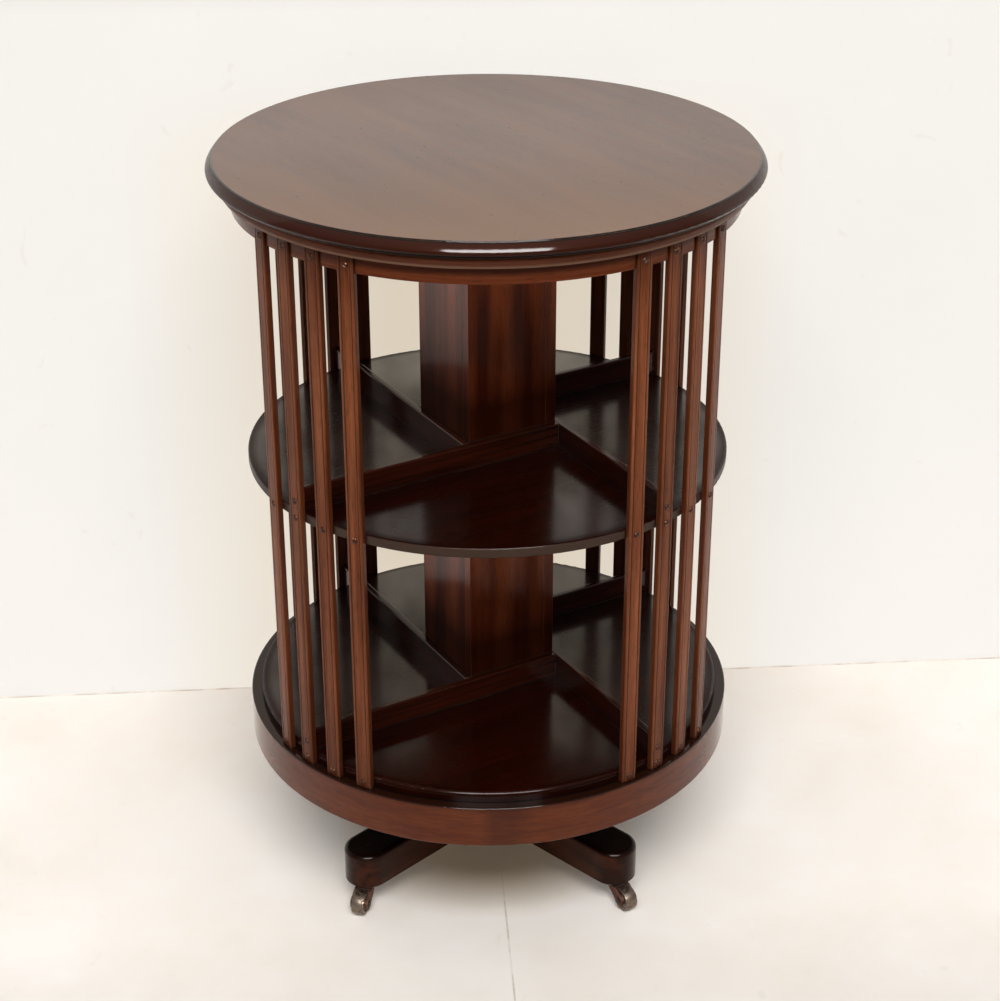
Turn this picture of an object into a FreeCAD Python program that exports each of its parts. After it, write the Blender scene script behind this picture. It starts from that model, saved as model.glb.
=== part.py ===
import FreeCAD, Part

# Revolving drum bookcase: a round case of two tiers that turns on an iron spindle
# over a cross base with four castors.  Millimetres, +Z up, origin on the floor
# under the spindle.  The column's faces lie along X and Y.

import math
import os

import Sketcher
from FreeCAD import Vector

doc = FreeCAD.newDocument("DrumBookcase")

# %% Sizes ---------------------------------------------------------------------------

SIZES = {
    # castors
    "wheel_diameter": 27.0,
    "wheel_width": 13.5,
    "wheel_crown": 0.9,  # how much the tread falls away towards its edges
    "wheel_dish": 1.2,  # depth of the hollow in each side of the wheel
    "wheel_rim": 3.2,
    "wheel_boss_diameter": 9.0,
    "axle_diameter": 4.0,
    "axle_head_diameter": 6.8,
    "axle_head_thickness": 1.2,
    "castor_height": 29.0,
    "castor_trail": 27.5,
    "castor_plate_diameter": 34.0,
    "castor_plate_thickness": 2.0,
    "pin_diameter": 8.0,
    "pin_head_diameter": 11.5,
    "pin_head_thickness": 1.6,
    "horn_boss_diameter": 19.0,
    "horn_boss_thickness": 6.0,
    "horn_cheek": 2.6,
    "horn_eye_diameter": 14.0,
    "horn_bridge": 12.0,  # from the pin back to where the cheeks slope down
    "horn_bridge_drop": 2.2,  # the bridge lies this far under the top of the boss
    "horn_back_bend": 26.0,
    # cross base
    "bar_length": 434.0,
    "bar_width": 50.0,
    "bar_thickness": 43.5,
    "bar_round": 6.0,
    "bar_bevel": 3.0,
    "base_turn": 15.6,  # degrees by which the cross stands turned from the case
    "hub_width": 96.0,
    "hub_thickness": 80.0,
    "hub_bevel": 6.0,
    "flange_diameter": 78.0,
    "flange_thickness": 5.0,
    "flange_screw_circle": 58.0,
    "spindle_diameter": 16.0,
    "spindle_socket": 60.0,
    "spindle_point": 4.0,
    # drum
    "drum_lift": 89.5,  # from the cross base up to the plinth
    "plinth_ledge": 11.5,  # how far the plinth stands out past the shelves
    "plinth_thickness": 18.0,
    "plinth_height": 46.5,
    "plinth_round": 1.5,
    "shelf_diameter": 508.0,
    "bottom_shelf_thickness": 12.0,
    "bottom_shelf_nosing": 5.0,
    "middle_shelf_thickness": 11.0,
    "middle_shelf_nosing": 2.0,
    "lower_bay": 271.0,
    "upper_bay": 271.0,
    "spindle_clear_hole": 30.0,
    "frieze_proud": 3.5,  # how far the frieze stands out past the shelves
    "frieze_thickness": 18.0,
    "frieze_show": 18.5,  # the part of the frieze that shows under the cornice
    "cornice_width": 13.3,
    "cornice_height": 12.5,
    "cornice_fillet": 4.0,
    "cornice_return": 4.0,  # how far the cornice steps in towards its lip
    "cornice_swell": 12.0,
    "cornice_lip": 0.8,
    "top_overhang": 9.0,  # from the cornice out to the nose's widest line
    "top_thickness": 16.0,
    "top_quirk": 1.2,
    "top_quirk_width": 0.8,
    "nose_back": 5.7,  # from the nose's widest line in to the quirk
    "nose_fall": 9.1,  # from the quirk down to the widest line
    "nose_swell": 24.0,
    "nose_shoulder_in": 0.45,  # the shoulder, where the nose turns under
    "nose_shoulder_rise": 2.0,
    "nose_return": 1.6,
    "nose_depth": 13.0,
    "top_fillet_back": 5.5,
    # column
    "column_width": 104.0,
    "column_board": 12.0,
    "top_block_thickness": 25.0,
    "bearer_width": 150.0,
    "bearer_thickness": 40.0,
    "bearer_bevel": 5.0,
    # iron bearings
    "collar_diameter": 60.0,
    "collar_thickness": 4.0,
    "cup_plate_diameter": 50.0,
    "cup_plate_thickness": 4.0,
    "cup_boss_diameter": 26.0,
    "cup_boss_length": 16.0,
    "cup_bore_depth": 12.0,
    "bearing_screw_inset": 6.0,  # from a bearing plate's rim to its screws
    # book stops
    "stop_thickness": 7.5,
    "stop_height": 26.0,
    "stop_round": 1.5,
    # slats
    "slat_width": 18.0,
    "slat_thickness": 6.0,
    "slat_pitch": 8.7,  # degrees from one slat to the next
    "slat_bead": 3.4,  # from the slat's side to the middle of its quirk
    "slat_quirk": 1.4,
    "slat_quirk_depth": 1.1,
    "slat_round": 1.6,
    # screws
    "screw_diameter": 6.8,
    "screw_rise": 1.8,
    "frieze_screw_drop": 11.0,  # from the cornice down to the top screws
    "iron_screw_diameter": 7.5,
    "iron_screw_rise": 2.0,
    # fits
    "running_fit": 0.06,  # radial, between a pin and its bore
    "thrust_gap": 0.05,
    "swivel_gap": 0.3,
    "wheel_side_gap": 0.5,
    "wheel_round_gap": 1.2,
    "joiner_gap": 0.2,  # between wooden faces that are fitted by hand
}

# Degrees.  Each castor has swung its own way since the case was last pushed.
CASTOR_TRAILS = {
    "castor_1_trail": 224.5,
    "castor_2_trail": 269.4,
    "castor_3_trail": 41.0,
    "castor_4_trail": 92.0,
}

DERIVED = {
    # heights, from the floor up
    "axle_level": "=wheel_diameter / 2",
    "castor_plate_foot": "=castor_height - castor_plate_thickness",
    "boss_top": "=castor_plate_foot - swivel_gap",
    "boss_foot": "=boss_top - horn_boss_thickness",
    "bridge_top": "=boss_top - horn_bridge_drop",
    "pin_foot": "=boss_foot - swivel_gap",
    "pin_head_foot": "=pin_foot - pin_head_thickness",
    "bar_top": "=castor_height + bar_thickness",
    "lap_level": "=castor_height + bar_thickness / 2",
    "hub_top": "=bar_top + hub_thickness",
    "flange_top": "=hub_top + flange_thickness",
    "spindle_foot": "=hub_top - spindle_socket",
    "plinth_foot": "=bar_top + drum_lift",
    "plinth_top": "=plinth_foot + plinth_height",
    "plinth_lower_round": "=plinth_foot + plinth_round",
    "plinth_upper_round": "=plinth_top - plinth_round",
    "bearer_foot": "=plinth_top - bearer_thickness",
    "collar_foot": "=bearer_foot - collar_thickness",
    "bottom_shelf_top": "=plinth_top + bottom_shelf_thickness",
    "bottom_nosing_foot": "=bottom_shelf_top - bottom_shelf_nosing",
    "middle_shelf_foot": "=bottom_shelf_top + lower_bay",
    "middle_shelf_top": "=middle_shelf_foot + middle_shelf_thickness",
    "middle_nosing_foot": "=middle_shelf_foot + middle_shelf_nosing",
    "middle_nosing_top": "=middle_shelf_top - middle_shelf_nosing",
    "frieze_foot": "=middle_shelf_top + upper_bay",
    "cornice_foot": "=frieze_foot + frieze_show",
    "cornice_top": "=cornice_foot + cornice_height",
    "cornice_lip_top": "=cornice_foot + cornice_lip",
    "cornice_fillet_foot": "=cornice_top - cornice_fillet",
    "top_level": "=cornice_top + top_thickness",
    "nose_start_level": "=top_level - top_quirk",
    "nose_widest_level": "=nose_start_level - nose_fall",
    "nose_shoulder_level": "=nose_widest_level + nose_shoulder_rise",
    "nose_end_level": "=top_level - nose_depth",
    "top_block_foot": "=cornice_top - top_block_thickness",
    "cup_plate_foot": "=top_block_foot - cup_plate_thickness",
    "cup_boss_foot": "=cup_plate_foot - cup_boss_length",
    "cup_floor": "=cup_boss_foot + cup_bore_depth",
    "spindle_top": "=cup_floor - thrust_gap",
    "spindle_shoulder": "=spindle_top - spindle_point",
    "lower_stop_top": "=bottom_shelf_top + stop_height",
    "upper_stop_top": "=middle_shelf_top + stop_height",
    "frieze_screw_level": "=cornice_foot - frieze_screw_drop",
    "middle_screw_level": "=(middle_shelf_foot + middle_shelf_top) / 2",
    "bottom_screw_level": "=(plinth_top + bottom_shelf_top) / 2",
    "upper_stop_screw_level": "=middle_shelf_top + stop_height / 2",
    "lower_stop_screw_level": "=bottom_shelf_top + stop_height / 2",
    # lengths of upright pieces
    "column_length": "=cornice_top - bottom_shelf_top",
    "frieze_depth": "=cornice_top - frieze_foot",
    "slat_length": "=cornice_foot - plinth_top",
    # castor, from its swivel pin
    "castor_plate_radius": "=castor_plate_diameter / 2",
    "pin_radius": "=pin_diameter / 2",
    "pin_bore": "=pin_radius + running_fit",
    "pin_head_radius": "=pin_head_diameter / 2",
    "horn_boss_radius": "=horn_boss_diameter / 2",
    "axle_radius": "=axle_diameter / 2",
    "axle_head_radius": "=axle_head_diameter / 2",
    "wheel_bore": "=axle_radius + running_fit",
    "wheel_radius": "=wheel_diameter / 2",
    "wheel_edge_radius": "=wheel_radius - wheel_crown",
    "wheel_rim_radius": "=wheel_edge_radius - wheel_rim",
    "wheel_boss_radius": "=wheel_boss_diameter / 2",
    "wheel_half": "=wheel_width / 2",
    "wheel_dish_half": "=wheel_half - wheel_dish",
    "wheel_crown_bend": "=(wheel_half ^ 2 + wheel_crown ^ 2) / (2 * wheel_crown)",
    "fork_slot": "=wheel_width + 2 * wheel_side_gap",
    "fork_width": "=fork_slot + 2 * horn_cheek",
    "fork_half": "=fork_width / 2",
    "axle_end": "=fork_half + axle_head_thickness",
    "fork_eye_radius": "=horn_eye_diameter / 2",
    "fork_eye_back": "=castor_trail + fork_eye_radius",
    "fork_eye_foot": "=axle_level - fork_eye_radius",
    "fork_throat": "=pin_head_radius + wheel_round_gap",
    "fork_clear_radius": "=wheel_radius + wheel_round_gap",
    # cross base, plan
    "bar_half_length": "=bar_length / 2",
    "bar_half_width": "=bar_width / 2",
    "bar_end_centre": "=bar_half_length - bar_half_width",
    "hub_half": "=hub_width / 2",
    "flange_radius": "=flange_diameter / 2",
    "flange_screw_radius": "=flange_screw_circle / 2",
    "spindle_radius": "=spindle_diameter / 2",
    "spindle_tip_radius": "=spindle_radius / 2",
    "bearing_bore": "=spindle_radius + running_fit",
    "spindle_clear_radius": "=spindle_clear_hole / 2",
    # drum, plan
    "shelf_radius": "=shelf_diameter / 2",
    "bottom_nosing_radius": "=shelf_radius - bottom_shelf_nosing",
    "middle_nosing_radius": "=shelf_radius - middle_shelf_nosing",
    "plinth_radius": "=shelf_radius + plinth_ledge",
    "plinth_bore": "=plinth_radius - plinth_thickness",
    "plinth_flat_radius": "=plinth_radius - plinth_round",
    "frieze_radius": "=shelf_radius + frieze_proud",
    "frieze_bore": "=frieze_radius - frieze_thickness",
    "cornice_bore": "=frieze_radius + joiner_gap",
    "cornice_radius": "=cornice_bore + cornice_width",
    "cornice_lip_radius": "=cornice_radius - cornice_return",
    "top_radius": "=cornice_radius + top_overhang",
    "top_fillet_radius": "=top_radius - top_fillet_back",
    "nose_start_radius": "=top_radius - nose_back",
    "nose_end_radius": "=top_radius - nose_return",
    "nose_drop": "=nose_widest_level - nose_end_level",
    "nose_shoulder_radius": "=top_radius - nose_shoulder_in",
    "nose_shoulder_bend": "=(nose_shoulder_in ^ 2 + nose_shoulder_rise ^ 2) / (2 * nose_shoulder_in)",
    "nose_lower_bend": "=(nose_return ^ 2 + nose_drop ^ 2) / (2 * nose_return)",
    "flat_radius": "=nose_start_radius - top_quirk_width",
    "column_half": "=column_width / 2",
    "column_inner_half": "=column_half - column_board",
    "shelf_hole_half": "=column_half + joiner_gap",
    "top_block_half": "=column_inner_half - joiner_gap",
    "bearer_half": "=bearer_width / 2",
    "cup_plate_radius": "=cup_plate_diameter / 2",
    "cup_boss_radius": "=cup_boss_diameter / 2",
    "cup_screw_radius": "=cup_plate_radius - bearing_screw_inset",
    "collar_radius": "=collar_diameter / 2",
    "collar_screw_radius": "=collar_radius - bearing_screw_inset",
    "stop_front": "=column_half + stop_thickness",
    "stop_end_back": "=sqrt(shelf_radius ^ 2 - column_half ^ 2)",
    "stop_end_front": "=sqrt(shelf_radius ^ 2 - stop_front ^ 2)",
    # slats, in the section's own frame: x outward from the spindle, y across
    "slat_back": "=shelf_radius + joiner_gap",
    "slat_face": "=slat_back + slat_thickness",
    "slat_half": "=slat_width / 2",
    "slat_round_face": "=slat_face - slat_round",
    "slat_round_side": "=slat_half - slat_round",
    "slat_quirk_floor": "=slat_face - slat_quirk_depth",
    "slat_quirk_middle": "=slat_half - slat_bead",
    "slat_quirk_outer": "=slat_quirk_middle + slat_quirk / 2",
    "slat_quirk_inner": "=slat_quirk_middle - slat_quirk / 2",
    "notch_half": "=slat_half + joiner_gap",
    "notch_floor": "=slat_back - joiner_gap",
    # the second slat of each group stands on the end of a book stop
    "stop_end_turn": "=asin((column_half + stop_front) / 2 / shelf_radius)",
    "first_slat_turn": "=180 + stop_end_turn / (1 deg) - slat_pitch",
}

QUARTERS = 4
SLATS_IN_GROUP = 4
SLAT_ON_STOP = 1
SLAT_SCREWS = ("frieze_screw_level", "middle_screw_level", "bottom_screw_level")
STOP_SCREWS = ("upper_stop_screw_level", "lower_stop_screw_level")

sheet = doc.addObject("Spreadsheet::Sheet", "Sizes")
cells = {**SIZES, **CASTOR_TRAILS, **DERIVED}
for row, (alias, content) in enumerate(cells.items(), start=1):
    sheet.set(f"A{row}", alias)
    sheet.set(f"B{row}", str(content))
    sheet.setAlias(f"B{row}", alias)
doc.recompute()


# %% Helpers -------------------------------------------------------------------------

def number(name):
    """The present value of a size, of "-size" or of "0"."""
    if name == "0":
        return 0.0
    value = sheet.get(name.lstrip("-"))
    value = float(getattr(value, "Value", value))
    return -value if name.startswith("-") else value


def cell(name):
    """The same size as an expression writes it."""
    if name == "0":
        return name
    return "-Sizes." + name[1:] if name.startswith("-") else "Sizes." + name


def turned(turn):
    """An expression for a placement turned by so many degrees about the Z axis."""
    return f"placement(vector(0; 0; 0); rotation(vector(0; 0; 1); {turn}))"


def moved(x, y, z, tilt="0"):
    """An expression for a placement at three sizes, tilted about the Y axis."""
    return (f"placement(vector({cell(x)}; {cell(y)}; {cell(z)}); "
            f"rotation(vector(0; 1; 0); {tilt}))")


def raised(level):
    return moved("0", "0", level)


def origin_feature(body, role):
    return next(f for f in body.Origin.OriginFeatures if f.Role == role)


def new_body(name, placement=""):
    body = doc.addObject("PartDesign::Body", name)
    body.Label = name
    if placement:
        body.setExpression("Placement", placement)
    return body


def new_sketch(body, role, offset=""):
    """A sketch on one of the body's own origin planes."""
    sketch = body.newObject("Sketcher::SketchObject", body.Name + "_sketch")
    sketch.AttachmentSupport = [(origin_feature(body, role), "")]
    sketch.MapMode = "FlatFace"
    if offset:
        sketch.setExpression("AttachmentOffset", offset)
    return sketch


def hold_point(sketch, side, end, x, y):
    """Ties one end of a side, or a circle's centre, to the sizes x and y."""
    for axis, kind, name in ((-2, "DistanceX", x), (-1, "DistanceY", y)):
        if name == "0":
            sketch.addConstraint(Sketcher.Constraint("PointOnObject", side, end, axis))
            continue
        held = sketch.addConstraint(
            Sketcher.Constraint(kind, -1, 1, side, end, number(name)))
        sketch.setExpression(f"Constraints[{held}]", cell(name))


def hold_radius(sketch, side, radius):
    held = sketch.addConstraint(Sketcher.Constraint("Radius", side, number(radius)))
    sketch.setExpression(f"Constraints[{held}]", cell(radius))


def bend(start, end, radius, to_left):
    """The arc from start to end that turns left or right, and its two end numbers."""
    chord = end - start
    rise = math.sqrt(max(radius ** 2 - chord.Length ** 2 / 4, 0.0))
    across = Vector(-chord.y, chord.x, 0).normalize()
    centre = (start + end) * 0.5 + across * (rise if to_left else -rise)
    first, last = (start, end) if to_left else (end, start)
    low = math.atan2(first.y - centre.y, first.x - centre.x)
    high = math.atan2(last.y - centre.y, last.x - centre.x)
    if high <= low:
        high += 2 * math.pi
    arc = Part.ArcOfCircle(Part.Circle(centre, Vector(0, 0, 1), radius), low, high)
    return arc, ((1, 2) if to_left else (2, 1))


def outline(sketch, corners):
    """A closed outline.  A corner is (x, y), or (x, y, radius, "left" or "right") where
    the side that arrives there is an arc."""
    points = [Vector(number(corner[0]), number(corner[1]), 0) for corner in corners]
    sides = []
    for index, corner in enumerate(corners):
        start, end = points[index - 1], points[index]
        if len(corner) == 2:
            side = sketch.addGeometry(Part.LineSegment(start, end))
            ends = (1, 2)
        else:
            arc, ends = bend(start, end, number(corner[2]), corner[3] == "left")
            side = sketch.addGeometry(arc)
            hold_radius(sketch, side, corner[2])
        sides.append((side, *ends))
    for index, (side, first, last) in enumerate(sides):
        after, after_first, after_last = sides[(index + 1) % len(sides)]
        sketch.addConstraint(
            Sketcher.Constraint("Coincident", side, last, after, after_first))
        hold_point(sketch, side, last, corners[index][0], corners[index][1])


def circle(sketch, radius, x="0", y="0"):
    centre = Vector(number(x), number(y), 0)
    side = sketch.addGeometry(Part.Circle(centre, Vector(0, 0, 1), number(radius)))
    hold_radius(sketch, side, radius)
    hold_point(sketch, side, 3, x, y)


def rectangle(half_x, half_y):
    return [(half_x, "-" + half_y), (half_x, half_y),
            ("-" + half_x, half_y), ("-" + half_x, "-" + half_y)]


def extrude(body, kind, sketch, length, centred=False, reverse=False):
    """A Pad or a Pocket of a bound length."""
    feature = body.newObject("PartDesign::" + kind, body.Name + "_" + kind.lower())
    feature.Profile = sketch
    feature.SideType = "Symmetric" if centred else "One side"
    feature.Reversed = reverse
    feature.setExpression("Length", cell(length))
    return feature


def turn_solid(body, sketch):
    """Turns a profile about the sketch's upright axis, as on a lathe."""
    feature = body.newObject("PartDesign::Revolution", body.Name + "_turning")
    feature.Profile = sketch
    feature.ReferenceAxis = (sketch, ["V_Axis"])
    feature.Angle = 360
    return feature


def ease(body, kind, size, wanted):
    """A Fillet or Chamfer on the edges of the body that the test picks."""
    doc.recompute()
    base = body.Tip
    names = [f"Edge{i}" for i, edge in enumerate(base.Shape.Edges, 1) if wanted(edge)]
    feature = body.newObject("PartDesign::" + kind, body.Name + "_" + kind.lower())
    feature.Base = (base, names)
    feature.setExpression("Radius" if kind == "Fillet" else "Size", cell(size))
    return feature


def lies_at(edge, level):
    """Whether an edge lies flat at a height."""
    box = edge.BoundBox
    return max(abs(box.ZMin - number(level)), abs(box.ZMax - number(level))) < 0.001


def plate(name, foot, radius, thickness, bore, placement=""):
    """A round plate with a bore."""
    body = new_body(name, placement)
    plan = new_sketch(body, "XY_Plane", raised(foot))
    circle(plan, radius)
    circle(plan, bore)
    extrude(body, "Pad", plan, thickness)
    return body


def block(name, foot, half, thickness, placement=""):
    """A square block about the spindle."""
    body = new_body(name, placement)
    plan = new_sketch(body, "XY_Plane", raised(foot))
    outline(plan, rectangle(half, half))
    extrude(body, "Pad", plan, thickness)
    return body


def bore_block(body, mouth, radius, depth, upwards=False):
    """A round hole along the spindle, from its mouth down or up."""
    hole = new_sketch(body, "XY_Plane", raised(mouth))
    circle(hole, radius)
    extrude(body, "Pocket", hole, depth, reverse=upwards)


def screw_heads(name, diameter, rise, placements):
    """A group of screw heads, each standing on the face at its placement."""
    heads = []
    for placement in placements:
        head = doc.addObject("Part::Cylinder", name + "_head")
        head.setExpression("Radius", cell(diameter) + " / 2")
        head.setExpression("Height", cell(rise))
        head.setExpression("Placement", placement)
        heads.append(head)
    return group(name, heads)


def group(name, members):
    compound = doc.addObject("Part::Compound", name)
    compound.Label = name
    compound.Links = members
    return compound


def screws_round(name, radius, level, turn, tilt="0"):
    """Iron screw heads, one in each quarter, on a circle about the spindle."""
    placements = [turned(f"{turn} + {90 * quarter}") + " * " + moved(radius, "0", level, tilt)
                  for quarter in range(QUARTERS)]
    return screw_heads(name, "iron_screw_diameter", "iron_screw_rise", placements)


# %% Castors -------------------------------------------------------------------------
# Drawn about the swivel pin, with the wheel trailing along +X.

def castor_place(index):
    """The placement of castor 1 to 4: under a bar's round end, swung its own way."""
    arm = f"Sizes.base_turn + {90 * (index + 1)}"
    swing = f"Sizes.castor_{index}_trail - ({arm})"
    return (turned(arm) + " * placement(vector(Sizes.bar_end_centre; 0; 0); "
            f"rotation(vector(0; 0; 1); {swing}))")


def castor_plate(index):
    """The plate under the foot bar with its riveted pin, turned in one."""
    body = new_body(f"castor_{index}_plate", castor_place(index))
    profile = new_sketch(body, "XZ_Plane")
    outline(profile, [
        ("0", "pin_head_foot"),
        ("pin_head_radius", "pin_head_foot"),
        ("pin_head_radius", "pin_foot"),
        ("pin_radius", "pin_foot"),
        ("pin_radius", "castor_plate_foot"),
        ("castor_plate_radius", "castor_plate_foot"),
        ("castor_plate_radius", "castor_height"),
        ("0", "castor_height"),
    ])
    turn_solid(body, profile)
    return body


def castor_horn(index):
    """The cast fork: a boss on the pin, a web behind it and two cheeks."""
    body = new_body(f"castor_{index}_horn", castor_place(index))
    boss = new_sketch(body, "XY_Plane", raised("boss_foot"))
    circle(boss, "horn_boss_radius")
    extrude(body, "Pad", boss, "horn_boss_thickness")
    side = new_sketch(body, "XZ_Plane")
    outline(side, [
        ("0", "bridge_top"),
        ("horn_bridge", "bridge_top"),
        ("fork_eye_back", "axle_level", "horn_back_bend", "right"),
        ("castor_trail", "fork_eye_foot"),
        ("fork_throat", "boss_foot"),
        ("0", "boss_foot"),
    ])
    extrude(body, "Pad", side, "fork_width", centred=True)
    eye = new_sketch(body, "XZ_Plane")
    circle(eye, "fork_eye_radius", "castor_trail", "axle_level")
    extrude(body, "Pad", eye, "fork_width", centred=True)
    slot = new_sketch(body, "XZ_Plane")
    circle(slot, "fork_clear_radius", "castor_trail", "axle_level")
    extrude(body, "Pocket", slot, "fork_slot", centred=True)
    axle_hole = new_sketch(body, "XZ_Plane")
    circle(axle_hole, "wheel_bore", "castor_trail", "axle_level")
    extrude(body, "Pocket", axle_hole, "fork_width", centred=True)
    bore_block(body, "boss_top", "pin_bore", "horn_boss_thickness")
    return body


def castor_axle(index):
    """A riveted axle with a head outside each cheek."""
    body = new_body(f"castor_{index}_axle", castor_place(index))
    profile = new_sketch(body, "XY_Plane", moved("castor_trail", "0", "axle_level"))
    outline(profile, [
        ("0", "-axle_end"),
        ("axle_head_radius", "-axle_end"),
        ("axle_head_radius", "-fork_half"),
        ("axle_radius", "-fork_half"),
        ("axle_radius", "fork_half"),
        ("axle_head_radius", "fork_half"),
        ("axle_head_radius", "axle_end"),
        ("0", "axle_end"),
    ])
    turn_solid(body, profile)
    return body


def castor_wheel(index):
    """A barrel-shaped wheel, dished between its rim and its boss."""
    body = new_body(f"castor_{index}_wheel", castor_place(index))
    profile = new_sketch(body, "XY_Plane", moved("castor_trail", "0", "axle_level"))
    outline(profile, [
        ("wheel_bore", "-wheel_half"),
        ("wheel_boss_radius", "-wheel_half"),
        ("wheel_boss_radius", "-wheel_dish_half"),
        ("wheel_rim_radius", "-wheel_dish_half"),
        ("wheel_rim_radius", "-wheel_half"),
        ("wheel_edge_radius", "-wheel_half"),
        ("wheel_edge_radius", "wheel_half", "wheel_crown_bend", "left"),
        ("wheel_rim_radius", "wheel_half"),
        ("wheel_rim_radius", "wheel_dish_half"),
        ("wheel_boss_radius", "wheel_dish_half"),
        ("wheel_boss_radius", "wheel_half"),
        ("wheel_bore", "wheel_half"),
    ])
    turn_solid(body, profile)
    return body


# %% Cross base ----------------------------------------------------------------------

def foot_bar(name, turn, lap_on_top):
    """One bar of the cross, with half-round ends, halved where the other crosses."""
    bar = new_body(name, turned(turn))
    plan = new_sketch(bar, "XY_Plane", raised("castor_height"))
    outline(plan, [
        ("bar_end_centre", "-bar_half_width"),
        ("bar_half_length", "0", "bar_half_width", "left"),
        ("bar_end_centre", "bar_half_width", "bar_half_width", "left"),
        ("-bar_end_centre", "bar_half_width"),
        ("-bar_half_length", "0", "bar_half_width", "left"),
        ("-bar_end_centre", "-bar_half_width", "bar_half_width", "left"),
    ])
    extrude(bar, "Pad", plan, "bar_thickness")
    ease(bar, "Fillet", "bar_round", lambda edge: lies_at(edge, "bar_top"))
    ease(bar, "Chamfer", "bar_bevel", lambda edge: lies_at(edge, "castor_height"))
    lap = new_sketch(bar, "XY_Plane", raised("lap_level"))
    outline(lap, rectangle("bar_half_width", "bar_width"))
    extrude(bar, "Pocket", lap, "bar_thickness", reverse=lap_on_top)
    return bar


def hub_block():
    """The block on the cross that holds the spindle's foot."""
    block_body = block("hub_block", "bar_top", "hub_half", "hub_thickness",
                       turned("Sizes.base_turn"))
    ease(block_body, "Chamfer", "hub_bevel", lambda edge: lies_at(edge, "hub_top"))
    bore_block(block_body, "hub_top", "bearing_bore", "spindle_socket")
    return block_body


def spindle():
    """An iron rod with a blunt point that carries the whole drum."""
    body = new_body("spindle")
    profile = new_sketch(body, "XZ_Plane")
    outline(profile, [
        ("0", "spindle_foot"),
        ("spindle_radius", "spindle_foot"),
        ("spindle_radius", "spindle_shoulder"),
        ("spindle_tip_radius", "spindle_top"),
        ("0", "spindle_top"),
    ])
    turn_solid(body, profile)
    return body


# %% Top, cornice and frieze ---------------------------------------------------------

def top_board():
    """The round top: a quirk, a bold rounded nose and a square fillet beneath it."""
    body = new_body("top_board")
    profile = new_sketch(body, "XZ_Plane")
    outline(profile, [
        ("0", "cornice_top"),
        ("top_fillet_radius", "cornice_top"),
        ("top_fillet_radius", "nose_end_level"),
        ("nose_end_radius", "nose_end_level"),
        ("top_radius", "nose_widest_level", "nose_lower_bend", "left"),
        ("nose_shoulder_radius", "nose_shoulder_level", "nose_shoulder_bend", "left"),
        ("nose_start_radius", "nose_start_level", "nose_swell", "left"),
        ("flat_radius", "nose_start_level"),
        ("flat_radius", "top_level"),
        ("0", "top_level"),
    ])
    turn_solid(body, profile)
    return body


def cornice_moulding():
    """The moulding bent round the frieze, which covers the tops of the slats."""
    body = new_body("cornice_moulding")
    profile = new_sketch(body, "XZ_Plane")
    outline(profile, [
        ("cornice_bore", "cornice_foot"),
        ("cornice_lip_radius", "cornice_foot"),
        ("cornice_lip_radius", "cornice_lip_top"),
        ("cornice_radius", "cornice_fillet_foot", "cornice_swell", "left"),
        ("cornice_radius", "cornice_top"),
        ("cornice_bore", "cornice_top"),
    ])
    turn_solid(body, profile)
    return body


def slat_turn(quarter, place):
    """Degrees about the spindle of one slat in one group."""
    return f"Sizes.first_slat_turn + {90 * quarter} + {place} * Sizes.slat_pitch"


def frieze_ring():
    """The ring under the top, notched so that the slats stand into its face."""
    body = plate("frieze_ring", "frieze_foot", "frieze_radius", "frieze_depth",
                 "frieze_bore")
    for quarter in range(QUARTERS):
        for place in range(SLATS_IN_GROUP):
            notch = new_sketch(body, "XY_Plane",
                               turned(slat_turn(quarter, place)) + " * " + raised("frieze_foot"))
            outline(notch, [
                ("notch_floor", "-notch_half"),
                ("slat_face", "-notch_half"),
                ("slat_face", "notch_half"),
                ("notch_floor", "notch_half"),
            ])
            extrude(body, "Pocket", notch, "frieze_show", reverse=True)
    return body


# %% Slats ---------------------------------------------------------------------------

def slat(quarter, place):
    """An upright slat with a quirk and a bead down each side of its face."""
    name = f"slat_{quarter * SLATS_IN_GROUP + place + 1:02d}"
    body = new_body(name, turned(slat_turn(quarter, place)))
    section = new_sketch(body, "XY_Plane", raised("plinth_top"))
    outline(section, [
        ("slat_back", "-slat_half"),
        ("slat_round_face", "-slat_half"),
        ("slat_face", "-slat_round_side", "slat_round", "left"),
        ("slat_face", "-slat_quirk_outer"),
        ("slat_quirk_floor", "-slat_quirk_middle"),
        ("slat_face", "-slat_quirk_inner"),
        ("slat_face", "slat_quirk_inner"),
        ("slat_quirk_floor", "slat_quirk_middle"),
        ("slat_face", "slat_quirk_outer"),
        ("slat_face", "slat_round_side"),
        ("slat_round_face", "slat_half", "slat_round", "left"),
        ("slat_back", "slat_half"),
    ])
    extrude(body, "Pad", section, "slat_length")
    return body


def slat_screws():
    """Round heads where each slat meets the frieze, a shelf or the end of a stop."""
    placements = []
    for quarter in range(QUARTERS):
        for place in range(SLATS_IN_GROUP):
            levels = SLAT_SCREWS + (STOP_SCREWS if place == SLAT_ON_STOP else ())
            placements += [
                turned(slat_turn(quarter, place)) + " * " + moved("slat_face", "0", level, "90")
                for level in levels]
    return screw_heads("slat_screws", "screw_diameter", "screw_rise", placements)


# %% Shelves, plinth and column ------------------------------------------------------

def bottom_shelf():
    body = new_body("bottom_shelf")
    profile = new_sketch(body, "XZ_Plane")
    outline(profile, [
        ("spindle_clear_radius", "plinth_top"),
        ("shelf_radius", "plinth_top"),
        ("shelf_radius", "bottom_nosing_foot"),
        ("bottom_nosing_radius", "bottom_shelf_top", "bottom_shelf_nosing", "left"),
        ("spindle_clear_radius", "bottom_shelf_top"),
    ])
    turn_solid(body, profile)
    return body


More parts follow.
